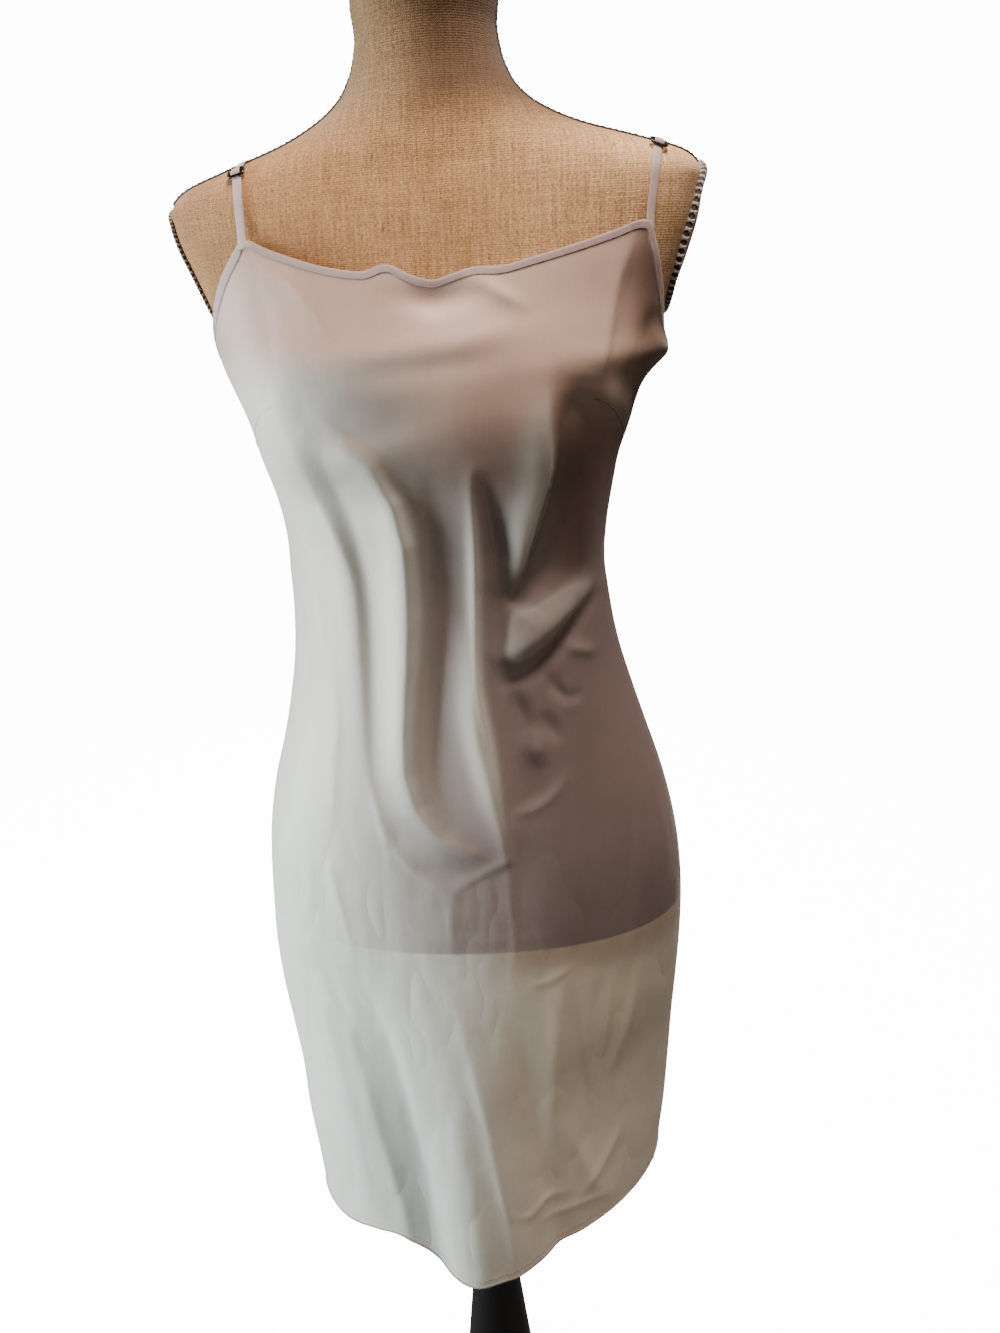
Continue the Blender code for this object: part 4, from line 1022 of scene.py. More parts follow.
def fill(tree, shader, **inputs):
    """The Principled shader's inputs, by short names."""
    names = {
        "colour": "Base Color", "roughness": "Roughness", "metallic": "Metallic", "normal": "Normal",
        "sheen": "Sheen Weight", "sheen_roughness": "Sheen Roughness", "sheen_tint": "Sheen Tint",
        "anisotropy": "Anisotropic", "specular": "Specular IOR Level", "coat": "Coat Weight",
        "coat_roughness": "Coat Roughness", "glow": "Emission Color", "glow_strength": "Emission Strength",
    }
    set_inputs(tree, shader, {names[key]: value for key, value in inputs.items()})


def bump(tree, height, distance, strength=1.0, normal=None):
    inputs = {"Height": height, "Distance": distance, "Strength": strength}
    if normal is not None:
        inputs["Normal"] = normal
    return node(tree, "ShaderNodeBump", inputs).outputs["Normal"]


def satin_look():
    """Thin champagne satin: warm and darker where the linen shows through it, pale where it hangs free.

    Both tones are partly painted: the darker one is painted shade where the form blocks the light through
    the cloth, and the pale one is painted light through it, cool on the left of the skirt and warm on its
    right. Painted shades multiply the tone under the right arm, on the left bust, beside the right bust, on
    the skirt's left facet, low on the right hip and just under the form's edge.
    """
    look, tree, shader, place = new_look("champagne_satin")
    cling_shade = painted(tree, "cling_shade")
    at = parts_of(tree, place)

    def across(*limits):
        return span(tree, at["X"], *limits)

    def up(*limits):
        return span(tree, at["Z"], *limits)

    handled = use_group(tree, HANDLING, {"Place": place, "Size": 9.0})
    woven = use_group(tree, WEAVE, {"Place": cut_place(tree), "Warp": 2400.0, "Weft": 1700.0, "Slub": 0.2})

    over_form = up(FORM_BOTTOM_Z + 1.6 * MM, FORM_BOTTOM_Z + 4.4 * MM)
    # near holds back the darker colour on the left below the chest: painted light from the window side.
    near = math_node(tree, "MAXIMUM", across(-0.125, 0.050, 0.08, 1.0), up(1.25, 1.31))
    # Painted shade on the right hip below the waist: the darker colour there however far the cloth stands
    # off.
    right_hip_painted_shade = math_node(tree, "MULTIPLY", up(1.150, 1.118), across(0.034, 0.052), over_form, 0.72)
    shown_and_shaded = math_node(tree, "MAXIMUM", math_node(tree, "MULTIPLY", cling_shade, over_form, near), right_hip_painted_shade)
    # The colour over the form is lighter and pinker on the chest and brighter towards its right, and darker
    # on the hips and towards the right hip: painted light and shade.
    lit = mix_colour(tree, across(-0.09, 0.09), colour(0.46, 0.308, 0.250), colour(0.56, 0.395, 0.330))
    hips = mix_colour(tree, across(0.02, 0.11), colour(0.29, 0.232, 0.225), colour(0.222, 0.165, 0.160))
    body = mix_colour(tree, up(1.16, 1.285), hips, lit)
    # The free skirt: cool pale grey on the left, warm on the right and paler there towards the hem: painted
    # window light and painted light through the cloth.
    warm = mix_colour(tree, up(0.56, 0.72), colour(0.76, 0.70, 0.61), colour(0.58, 0.525, 0.43))
    low = mix_colour(tree, across(-0.02, 0.06), colour(0.66, 0.675, 0.63), warm)
    free = mix_colour(tree, up(0.84, 1.10), low, colour(0.66, 0.64, 0.595))
    cloth = mix_colour(tree, shown_and_shaded, free, body)

    # Painted shade under the right arm, on the left bust, beside the right bust, on the skirt's left facet,
    # low on the right hip and just under the form's edge.
    under_arm_painted_shade = math_node(tree, "MULTIPLY", across(0.118, 0.150), up(1.17, 1.24))
    left_bust_painted_shade = math_node(tree, "MULTIPLY", up(1.185, 1.225), up(1.314, 1.264), across(-0.125, -0.085),
                          across(-0.04, 0.02, 1.0, 0.60))
    beside_bust_painted_shade = math_node(tree, "MULTIPLY", up(1.120, 1.145), up(1.262, 1.218), across(0.055, 0.092),
                            across(0.120, 0.097), cling_shade)
    # The skirt's left facet, between slanted edges: painted shade.
    slanted = math_node(tree, "ADD", at["X"], scaled(tree, at["Z"], 0.085, -0.0425))
    facet = math_node(tree, "MULTIPLY", span(tree, slanted, -0.022, -0.034),
                      span(tree, slanted, -0.120, -0.080), up(0.75, 0.64))
    low_right_painted_shade = math_node(tree, "MULTIPLY", up(0.930, 0.840), across(0.04, 0.10), over_form)
    off_form = math_node(tree, "SUBTRACT", 1.0, over_form)
    below_form_painted_shade = math_node(tree, "MULTIPLY", up(0.790, 0.827), across(-0.02, 0.06), off_form)
    shades = (
        (under_arm_painted_shade, colour(0.42, 0.36, 0.34)),
        (left_bust_painted_shade, colour(0.51, 0.505, 0.495)),
        (beside_bust_painted_shade, colour(0.58, 0.53, 0.49)),
        (facet, colour(0.74, 0.79, 0.80)),
        (low_right_painted_shade, colour(0.74, 0.76, 0.78)),
        (below_form_painted_shade, colour(0.72, 0.62, 0.60)),
        (1.0, grey(tree, scaled(tree, handled["Tone"], 0.26, 0.87))),
        (1.0, grey(tree, scaled(tree, woven["Tone"], 0.22, 1.0))),
    )
    for share, tint in shades:
        cloth = mix_colour(tree, share, cloth, tint, "MULTIPLY")

    crumple = noise(tree, stretched(tree, place, (1.0, 1.0, 0.45)), 26.0, 3.0, 0.55)
    facets = noise(tree, stretched(tree, place, (1.0, 1.0, 0.40)), 17.0, 2.0, 0.5)
    facets = math_node(tree, "ABSOLUTE", math_node(tree, "SUBTRACT", facets, 0.5))
    facets = math_node(tree, "MULTIPLY", facets, up(1.02, 0.84))
    relief = bump(tree, crumple, 1.6 * MM, 0.45)
    relief = bump(tree, facets, 12.0 * MM, 0.5, relief)
    relief = bump(tree, woven["Height"], 0.05 * MM, 0.5, relief)
    fill(tree, shader, colour=cloth, roughness=scaled(tree, handled["Tone"], 0.14, 0.36), normal=relief,
         sheen=0.25, sheen_roughness=0.35, sheen_tint=colour(1.0, 0.97, 0.95), anisotropy=0.35,
         specular=0.5)
    return look


def binding_look(name, tint):
    """Folded satin on the cross, a little pinker, with the weave at a slant and a darker edge by the
    stitches: a painted seam shadow.
    """
    look, tree, shader, place = new_look(name)
    turn = (0.0, 0.0, math.radians(45))
    slant = node(tree, "ShaderNodeMapping", {"Vector": cut_place(tree), "Rotation": turn}).outputs["Vector"]
    woven = use_group(tree, WEAVE, {"Place": slant, "Warp": 2200.0, "Weft": 1700.0, "Slub": 0.3})
    handled = use_group(tree, HANDLING, {"Place": place, "Size": 30.0})
    # The stitched mask darkens the edge: painted seam shadow.
    edge = math_node(tree, "MULTIPLY", painted(tree, "stitched"), 0.45)
    tone = scaled(tree, handled["Tone"], 0.9, 0.05)
    cloth = mix_colour(tree, tone, toned(tint, 0.86), toned(tint, 1.10))
    cloth = mix_colour(tree, edge, cloth, colour(0.20, 0.15, 0.15))
    fill(tree, shader, colour=cloth, roughness=scaled(tree, woven["Tone"], 0.3, 0.48),
         normal=bump(tree, woven["Height"], 0.08 * MM, 0.6), sheen=0.35, sheen_roughness=0.4, specular=0.4)
    return look


def linen_look():
    """Natural linen: uneven upright threads, fainter cross threads, slubs and dark flecks, matt.

    Painted shade darkens the neck, most in its middle and on its right, and painted light brightens the
    chest towards the right shoulder.
    """
    look, tree, shader, place = new_look("natural_linen")
    plan = cut_place(tree)
    woven = use_group(tree, WEAVE, {"Place": plan, "Warp": 780.0, "Weft": 700.0, "Slub": 1.2})
    handled = use_group(tree, HANDLING, {"Place": place, "Size": 7.0})
    tone = math_node(tree, "ADD", scaled(tree, woven["Tone"], 1.5, 0.0), handled["Tone"],
                     swing(tree, noise(tree, plan, 640.0, 2.0, 0.7), 1.3))
    ramp = node(tree, "ShaderNodeValToRGB", {"Fac": span(tree, tone, 0.82, 1.68, kind="LINEAR")})
    stops = ((0.0, colour(0.20, 0.105, 0.045)), (0.35, colour(0.35, 0.195, 0.090)),
             (0.60, colour(0.46, 0.270, 0.135)), (1.0, colour(0.62, 0.410, 0.225)))
    ramp.color_ramp.elements[0].position, ramp.color_ramp.elements[0].color = stops[0]
    ramp.color_ramp.elements[1].position, ramp.color_ramp.elements[1].color = stops[-1]
    for position, stop in stops[1:-1]:
        ramp.color_ramp.elements.new(position).color = stop
    specks = span(tree, noise(tree, stretched(tree, plan, (1.0, 0.5, 1.0)), 340.0, 2.0, 0.5), 0.66, 0.74)
    flecks = math_node(tree, "MULTIPLY", math_node(tree, "MAXIMUM", woven["Fleck"], specks), 0.7)
    cloth = mix_colour(tree, flecks, ramp.outputs["Color"], colour(0.13, 0.075, 0.04))

    at = parts_of(tree, place)

    def across(start, end, left, right):
        return mix_colour(tree, span(tree, at["X"], start, end), left, right)

    # Painted light on the chest, brighter towards the right shoulder, and painted shade on the neck, darkest
    # in its middle and on its right.
    chest_painted_light = across(-0.12, 0.0, colour(0.92, 0.80, 0.67), colour(1.03, 0.97, 0.87))
    chest_painted_light = across(0.0, 0.15, chest_painted_light, colour(1.66, 1.74, 1.86))
    neck = across(-0.036, 0.016, colour(0.56, 0.56, 0.52), colour(0.22, 0.195, 0.175))
    linen_painted_light_and_shade = mix_colour(tree, span(tree, at["Z"], 1.405, 1.460), chest_painted_light, neck)
    cloth = mix_colour(tree, 1.0, cloth, linen_painted_light_and_shade, "MULTIPLY")
    fill(tree, shader, colour=cloth, roughness=0.92, normal=bump(tree, woven["Height"], 0.35 * MM, 0.7),
         sheen=0.12, sheen_roughness=0.6, specular=0.2)
    return look


def thread_look(name, tint, rough=0.6):
    """Sewing thread: a fine uneven tone on Object coordinates."""
    look, tree, shader, place = new_look(name)
    tone = use_group(tree, HANDLING, {"Place": place, "Size": 400.0})["Tone"]
    fill(tree, shader, colour=mix_colour(tree, tone, toned(tint, 0.7), toned(tint, 1.25)), roughness=rough,
         normal=bump(tree, tone, 0.1 * MM, 0.5), sheen=0.2, specular=0.4)
    return look


def metal_look():
    """A dark plated slide, brighter where it has rubbed."""
    look, tree, shader, place = new_look("slide_metal")
    handled = use_group(tree, HANDLING, {"Place": place, "Size": 160.0})
    plate = mix_colour(tree, handled["Smudge"], colour(0.075, 0.068, 0.064), colour(0.26, 0.24, 0.225))
    fill(tree, shader, colour=plate, roughness=span(tree, handled["Tone"], 0.3, 0.7, 0.22, 0.40),
         metallic=1.0, normal=bump(tree, handled["Tone"], 0.05 * MM, 0.3))
    return look


def paint_look():
    """Black satin paint with a faint orange-peel, dust on what faces up, and scuffs."""
    look, tree, shader, place = new_look("black_satin_paint")
    handled = use_group(tree, HANDLING, {"Place": place, "Size": 12.0})
    up = parts_of(tree, node(tree, "ShaderNodeNewGeometry").outputs["Normal"])["Z"]
    dust = math_node(tree, "MULTIPLY", span(tree, up, 0.4, 1.0), handled["Tone"], 0.10)
    paint = mix_colour(tree, dust, colour(0.004, 0.004, 0.005), colour(0.14, 0.13, 0.12))
    fill(tree, shader, colour=paint, roughness=scaled(tree, handled["Smudge"], 0.16, 0.38),
         normal=bump(tree, noise(tree, place, 900.0, 2.0), 0.06 * MM, 0.35), specular=0.25, coat=0.04,
         coat_roughness=0.3)
    return look


SATIN = satin_look()
BINDING = binding_look("satin_binding_fold", (0.42, 0.30, 0.295))
STRAP = binding_look("satin_strap_fold", (0.49, 0.36, 0.355))
HEM_LOOK = binding_look("satin_hem_fold", (0.34, 0.29, 0.28))
SATIN_THREAD = thread_look("satin_thread", (0.50, 0.38, 0.37))
# A dark thread look for the right dart's line: a painted seam shadow.
SEAM_SHADOW = thread_look("seam_fold", (0.099, 0.074, 0.070))
LINEN = linen_look()
SEAM_THREAD = thread_look("dark_seam_thread", (0.045, 0.034, 0.034), 0.75)
BRAID_THREAD = thread_look("braid_thread", (0.50, 0.42, 0.42), 0.75)
METAL = metal_look()
PAINT = paint_look()

# --------------------------------------------------------------------------------------------- dress


def surface_normals(points, facing):
    """Normals of a grid from the cross product of its two slopes, turned outwards."""
    normals = unit(np.cross(np.gradient(points, axis=0), np.gradient(points, axis=1)))
    return normals * (facing * np.sign(np.median(normals[..., 1])))


PANEL_ROWS = 290
NECK_COLUMNS = 220
ARMHOLE_COLUMNS = 60
HEM_COLUMNS = 260


def cling_shade_of(lift):
    """The share of the satin's darker colour, the linen showing through and painted shade where the form
    blocks the light through the cloth: all of it to 8 mm of lift, none from 28 mm.
    """
    return 1.0 - ease(lift, 8.0 * MM, 28.0 * MM)


def panel(name, facing, node_name):
    """A panel from under its bindings to the hem, in even steps down each column."""
    angle = panel_angles(facing)
    top = edge_height(angle, facing) - edge_drop(angle, facing) + PANEL_TUCK
    bottom = hem_height(angle, facing) + HEM_ROLL
    share = np.linspace(0.0, 1.0, PANEL_ROWS + 1)[:, None]
    z = top + (bottom - top) * share
    outer, _, lift = cloth_face(np.broadcast_to(angle, z.shape), z, facing)
    outer = tilted(outer)
    normals = surface_normals(outer, facing)
    inner = outer - normals * CLOTH_THICKNESS
    return belongs(wall(name, outer, inner, SATIN, masks=[("cling_shade", cling_shade_of(lift))]), "satin", node_name)


def edge_strip(angle, facing, rows=9):
    """A grid over the binding's width: rows down from the finished edge, and its level normals."""
    top = edge_height(angle, facing)
    drop = edge_drop(angle, facing)
    share = np.linspace(0.0, 1.0, rows)[:, None]
    z = top - drop * share
    outer, normals, _ = cloth_face(np.broadcast_to(angle, z.shape), z, facing)
    return outer, normals


def folded_strip(name, face, normals, look):
    """A folded binding on a strip of the cloth's face, soft at both edges, slightly puckered.

    It stands out by its height times 1 - (2s - 1)^6 over its width, and the pucker is a product of two
    sines of the length along it.
    """
    share = np.linspace(0.0, 1.0, face.shape[0])[:, None]
    along = lengths_along(face, 1)
    pucker = 0.16 * MM * np.sin(along * 2 * math.pi / 0.0061) * np.sin(along * 2 * math.pi / 0.017 + 1.0)
    roll = 1 - np.abs(2 * share - 1) ** 6
    outer = face + normals * (BINDING_PROUD * roll - 0.15 * MM + pucker * roll)[..., None]
    inner = face - normals * (BINDING_WALL * (0.35 + 0.65 * roll) - BINDING_PROUD)[..., None]
    # stitched marks the lower edge, which the binding look darkens as a painted seam shadow.
    stitched = np.broadcast_to(ease(share, 0.86, 1.0), face.shape[:2])
    return wall(name, tilted(outer), tilted(inner), look, masks=[("stitched", stitched)])


def neck_binding(name, facing, node_name):
    face, normals = edge_strip(neck_angles(facing, NECK_COLUMNS), facing)
    return belongs(folded_strip(name, face, normals, BINDING), "satin_binding", node_name)


def armhole_strip(side):
    """One strip from the front strap under the arm to the back strap."""
    front, front_normals = edge_strip(armhole_angles(FRONT, side, ARMHOLE_COLUMNS), FRONT)
    back, back_normals = edge_strip(armhole_angles(BACK, side, ARMHOLE_COLUMNS), BACK)
    face = np.concatenate([front[:, ::-1], back[:, 1:]], axis=1)
    return face, np.concatenate([front_normals[:, ::-1], back_normals[:, 1:]], axis=1)


def armhole_binding(name, side, node_name):
    face, normals = armhole_strip(side)
    return belongs(folded_strip(name, face, normals, STRAP), "satin_binding", node_name)


def row_of_stitches(name, face, normals):
    """Stitches along a binding's strip, near its lower edge."""
    place = STITCH_SHARE * (face.shape[0] - 1)
    low = int(place)
    mix = place - low
    path = face[low] * (1 - mix) + face[low + 1] * mix
    out = normals[low]
    return belongs(stitches(name, tilted(path + out * STITCH_PROUD), out, SATIN_THREAD), "satin_binding")


def strap_points(side, degrees):
    """Points of a strap's underside and their outward normals, where rays by angle leave the form."""
    route = {name: column(STRAP_ROUTE, STRAP_COLUMNS, name) for name in STRAP_COLUMNS}
    x = smooth_at(degrees, route["degrees"], route[SIDE_WORDS[side] + "_x"])
    lift = smooth_at(degrees, route["degrees"], route["lift"])
    lift += SLIDER_STRAP_RISE * (1 - ease(np.abs(degrees - SLIDER_ANGLES[side]), 0.7, 2.9))
    ray = np.stack([np.zeros_like(x), np.cos(np.radians(degrees)), np.sin(np.radians(degrees))], axis=-1)
    start = np.stack([x, np.zeros_like(x), np.full_like(x, STRAP_CENTRE_Z)], axis=-1)

    def is_inside(reach):
        return form_level(start + ray * reach[:, None]) < 1.0

    points = start + ray * halved(is_inside, 0.140, x.shape, 30)[:, None]
    normals = form_normals(points)
    return points + normals * lift[:, None], normals


def strap_end(side, facing):
    """The angle where a strap has run a tuck's length below the finished edge."""
    rows = edge_rows(facing)
    corner = rows[:2] if side < 0 else rows[-2:]
    height = max(z for _, z in corner) - STRAP_TUCK
    degrees = np.linspace(SLIDER_ANGLES[side], 176.0 if facing < 0 else -24.0, 400)
    points, _ = strap_points(side, degrees)
    return degrees[np.argmax(points[:, 2] < height)]


def strap(name, side, facing, node_name):
    """Half of a strap, from over the slide's bar to the edge it is sewn to.

    It is a flat ribbon whose edges are rounded by 1 - s^6, with s from -1 to 1 across it.
    """
    degrees = np.linspace(strap_end(side, facing), SLIDER_ANGLES[side], 120)
    centre, normals = strap_points(side, degrees)
    across = unit(np.cross(np.gradient(centre, axis=0), normals)) * STRAP_WIDTH / 2
    share = np.linspace(-1.0, 1.0, 9)[:, None, None]
    roll = 1 - np.abs(share) ** 6
    under = centre[None] + across[None] * share
    outer = under + normals[None] * STRAP_WALL * (0.45 + 0.55 * roll)
    inner = under + normals[None] * STRAP_WALL * 0.45 * (1 - roll)
    # stitched marks both edges, which the strap look darkens as painted shade.
    stitched = np.broadcast_to(0.45 * ease(np.abs(share[..., 0]), 0.80, 1.0), outer.shape[:2])
    ribbon = wall(name, tilted(outer), tilted(inner), STRAP, masks=[("stitched", stitched)])
    return belongs(ribbon, "satin_binding", node_name)


def slide_frame(side):
    """The slide's place: its centre, and its directions across the strap, along it and up."""
    points, normals = strap_points(side, SLIDER_ANGLES[side] + np.array([-1.0, 0.0, 1.0]))
    points = tilted(points)
    up = normals[1]
    along = points[2] - points[0]
    across = unit(np.cross(along, up))
    along = np.cross(up, across)
    seat = points[1] - up * (SLIDER_STRAP_RISE + STRAP_LIFT - SLIDER_LIFT)
    return seat, across, along, up


def slide(name, side, node_name):
    """A wire slide: a rounded oblong ring, and a bar across its middle joined to it.

    The ring's centreline is a superellipse of exponent 5.
    """
    seat, across, along, up = slide_frame(side)
    turn = np.linspace(0.0, 2 * math.pi, 64, endpoint=False)
    half_width = SLIDER_WIDTH / 2 - SLIDER_WIRE
    half_length = SLIDER_LENGTH / 2 - SLIDER_WIRE
    wide, long = superellipse(turn, half_width, half_length, 5.0)
    ring = seat + wide[:, None] * across + long[:, None] * along
    reach = np.linspace(-half_width, half_width, 9)[:, None]
    bar = tube_points(seat + reach * across, SLIDER_WIRE * 0.8, 10, up=up)
    belongs(rings(name + "_bar", bar, METAL), "slider_metal")
    outer = rings(name, tube_points(ring, SLIDER_WIRE, 10, up=up, loop=True), METAL, loop=True)
    return belongs(outer, "slider_metal", node_name)


def hem_path(facing, rise):
    """A line on the cloth at a height over the hem's edge, with its level normals."""
    angle = np.linspace(-math.pi / 2, math.pi / 2, HEM_COLUMNS)
    path, normals, _ = cloth_face(angle, hem_height(angle, facing) + rise, facing)
    return path, normals


def hem_roll(name, facing):
    """The rolled lower edge: a tube along the hem, a little higher than it is deep."""
    path, normals = hem_path(facing, HEM_ROLL)
    path = path - normals * CLOTH_THICKNESS / 2
    tube = tube_points(path, HEM_ROLL, 8, flat=1.25)
    return belongs(rings(name, tube, HEM_LOOK), "satin")


def hem_stitches(name, facing):
    path, normals = hem_path(facing, HEM_TURN)
    row = stitches(name, path + normals * 0.05 * MM, normals, SATIN_THREAD, pitch=3.0 * MM, length=2.1 * MM)
    return belongs(row, "satin")


def seam_fold(name, path, normals, lift, radius, flat, look):
    """A thin stitched fold along a line of the cloth, which clings where the cloth does and takes the same
    painted shade.
    """
    tube = tube_points(path, radius, 6, up=normals, flat=flat)
    cling_shade = np.broadcast_to(cling_shade_of(lift)[:, None], tube.shape[:2])
    return belongs(rings(name, tube, look, masks=[("cling_shade", cling_shade)]), "satin")


def side_seam(name, side):
    """The narrow fold where the two panels join, from under the armhole to the hem."""
    z = np.linspace(UNDERARM_Z - BINDING_WIDTH, 0.500, 200)
    path, normals, lift = cloth_face(np.full_like(z, side * math.pi / 2), z, FRONT)
    return seam_fold(name, path - normals * 0.2 * MM, normals, lift, 0.7 * MM, 0.8, SATIN)


DARTS = {
    "left": ((-0.1370, 1.2300), (-0.1300, 1.2460), (-0.1200, 1.2570), (-0.1110, 1.2620)),
    "right": ((0.1285, 1.2330), (0.1225, 1.2470), (0.1150, 1.2560), (0.1070, 1.2600)),
}


def dart(name, points, look):
    """A bust dart's stitched line: a thin fold on the cloth's face through its points."""
    knots = np.array(points)
    reach = np.linspace(0.0, 1.0, len(knots))
    where = np.linspace(0.0, 1.0, 60)
    x = smooth_at(where, reach, knots[:, 0])
    z = smooth_at(where, reach, knots[:, 1])
    path, normals, lift = cloth_face(angle_at(x, z), z, FRONT)
    return seam_fold(name, path, normals, lift, 0.9 * MM * (1 - 0.6 * where), 0.6, look)


dress_front = panel("satin_front", FRONT, "dress_front")
dress_back = panel("satin_back", BACK, "dress_back")
neck_front = neck_binding("neck_fold_front", FRONT, "binding_neck_front")
neck_back = neck_binding("neck_fold_back", BACK, "binding_neck_back")
trims = {"front": [neck_front], "back": [neck_back]}
for word, facing in (("front", FRONT), ("back", BACK)):
    strip, strip_normals = edge_strip(neck_angles(facing, NECK_COLUMNS), facing)
    trims[word].append(row_of_stitches("neck_stitches_" + word, strip, strip_normals))
    trims[word].append(hem_roll("hem_roll_" + word, facing))
    trims[word].append(hem_stitches("hem_stitches_" + word, facing))
for word, side in SIDES:
    trims["front"].append(armhole_binding("armhole_fold_" + word, side, "binding_armhole_" + word))
    strip, strip_normals = armhole_strip(side)
    trims["front"].append(row_of_stitches("armhole_stitches_" + word, strip, strip_normals))
    trims["front"].append(strap("front_strap_" + word, side, FRONT, "strap_front_" + word))
    trims["back"].append(strap("back_strap_" + word, side, BACK, "strap_back_" + word))
    trims["front"].append(side_seam("side_seam_" + word, side))
    slide("strap_slide_" + word, side, "strap_slider_" + word)
# The right dart's line is drawn dark, a painted seam shadow.
for word, look in (("left", SATIN), ("right", SEAM_SHADOW)):
    trims["front"].append(dart("dart_" + word, DARTS[word], look))

# ---------------------------------------------------------------------------------------------- form


COVER_HALF_COLUMNS = 120
NECK_DOME = ((0.3, 0.7 * MM), (0.7, 0.6 * MM), (0.95, 0.3 * MM))  # shares of the top ring, and rises
FOOT_RINGS = (0.97, 0.6, 0.3)  # shares of the lowest ring


def form_rows(step):
    """Heights from the neck's top to the form's foot, an even way apart along its side."""
    z = column(FORM_SECTIONS, FORM_COLUMNS, "z")
    radius = column(FORM_SECTIONS, FORM_COLUMNS, "half_width")
    spans = np.maximum(np.ceil(np.hypot(np.diff(z), np.diff(radius)) / step), 1).astype(int)
    parts = [np.linspace(*pair, count, endpoint=False) for *pair, count in zip(z[:-1], z[1:], spans)]
    return np.append(np.concatenate(parts), z[-1])


def linen_cover(name, node_name):
    """The form's cover: superellipse rings down its sections, closed by slightly domed ends."""
    z = form_rows(0.0042)
    angle = np.linspace(-math.pi, math.pi, 2 * COVER_HALF_COLUMNS + 1)
    half_width, depth, exponent = form_shape(-np.cos(angle), z[:, None])
    across, along = superellipse(angle, half_width, depth, exponent)
    level = np.stack([across, -along, np.broadcast_to(z[:, None], across.shape)], axis=-1)
    top = [level[0] * (share, share, 1.0) + (0.0, 0.0, rise) for share, rise in NECK_DOME]
    bottom = [level[-1] * (share, share, 1.0) for share in FOOT_RINGS]
    points = tilted(np.concatenate([top, level, bottom]))
    front = slice(COVER_HALF_COLUMNS, COVER_HALF_COLUMNS + 1)
    across_plan = lengths_along(points, 1)
    down_plan = lengths_along(points, 0)[:, front] + np.zeros_like(across_plan)
    plan = np.stack([across_plan - across_plan[:, front], -down_plan], axis=-1)
    return belongs(rings(name, points[:, :-1], LINEN, plan=plan), "linen", node_name)


def arm_oval(share, turn):
    """Points of the oval arm end, on the form's side, by the share of its reach and the turn."""
    y = share * ARM_HALF_DEPTH * np.cos(turn)
    z = ARM_Z + share * ARM_HALF_HEIGHT * np.sin(turn)
    return np.stack([form_side(y, z), y, z], axis=-1)


def arm_cover(name, side, node_name):
    """The arm end's padded oval of linen: rings out from its middle, domed by 1 - s^4, and its back."""
    turn = np.linspace(0.0, 2 * math.pi, 73)
    shares = np.concatenate([np.linspace(0.04, 0.9, 16), [0.95, 0.98, 1.0]])[:, None]
    base = arm_oval(shares, turn)
    dome = (1.6 * MM + 2.4 * MM * (1 - shares ** 4)) * np.ones_like(turn)
    face = base + np.stack([dome, 0 * dome, 0 * dome], axis=-1)
    back = base[::-1] + (0.8 * MM, 0.0, 0.0)
    points = tilted(np.concatenate([face, back]) * (side, 1.0, 1.0))
    return belongs(rings(name, points[:, :-1], LINEN, plan=points[..., 1:]), "linen", node_name)


def arm_edge(side, turn):
    """The line of the braid, round the arm end's edge."""
    return tilted((arm_oval(1.0, turn) + (BRAID_OUT, 0.0, 0.0)) * (side, 1.0, 1.0))


def arm_braid(word, side, radius, turns):
    """The braid round an arm end: a dark cord, wrapped both ways by a pale thread.

    Each wrap is a helix: the cord's centre plus its two square directions times the cosine and the
    sine of the turn, times a little more than the cord's radius.
    """
    centre = arm_edge(side, np.linspace(0.0, 2 * math.pi, 160, endpoint=False))
    cord = tube_points(centre, radius, 10, loop=True, up=(1.0, 0.0, 0.0))
    belongs(rings("arm_cord_" + word, cord, SEAM_THREAD, loop=True), "linen")
    fine = np.linspace(0.0, 2 * math.pi, turns * 14, endpoint=False)
    line = arm_edge(side, fine)
    along = unit(np.roll(line, -1, axis=0) - np.roll(line, 1, axis=0))
    wide = unit(np.cross(along, (1.0, 0.0, 0.0)))
    high = np.cross(wide, along)
    for title, way in (("a", 1), ("b", -1)):
        spin = fine * turns * way
        helix = line + 1.1 * radius * (wide * np.cos(spin)[:, None] + high * np.sin(spin)[:, None])
        wrap = tube_points(helix, 0.36 * radius, 5, loop=True, up=along)
        belongs(rings("arm_braid_%s_%s" % (word, title), wrap, BRAID_THREAD, loop=True), "linen")


def shoulder_seam(name, side):
    """The dark stitched seam from the neck's top over the shoulder to the arm end.

    It follows its route of depths by height, and lies where the form's section passes each depth.
    """
    z = form_rows(0.003)
    z = z[(z < FORM_TOP_Z - 0.004) & (z > SEAM_ROUTE[0][0] - 0.001)]
    depths = column(SEAM_ROUTE, SEAM_COLUMNS, SIDE_WORDS[side] + "_y")
    y = smooth_at(z, column(SEAM_ROUTE, SEAM_COLUMNS, "z"), depths)
    path = np.stack([side * form_side(y, z), y, z], axis=-1)
    out = form_normals(path)
    path = tilted(path) + out * 0.35 * MM
    row = stitches(name + "_stitches", path + out * 0.5 * MM, out, SEAM_THREAD, pitch=4.5 * MM,
                   length=3.0 * MM, radius=0.5 * MM)
    belongs(row, "linen")
    cord = rings(name, tube_points(path, 0.95 * MM, 6, up=(0.0, 1.0, 0.0)), SEAM_THREAD)
    return belongs(cord, "linen")


linen_cover("linen_cover", "form_torso")
for word, side in SIDES:
    arm_cover("arm_cover_" + word, side, "form_arm_plate_" + word)
    arm_braid(word, side, *BRAID_SIZES[side])
    shoulder_seam("shoulder_seam_" + word, side)

# --------------------------------------------------------------------------------------------- stand

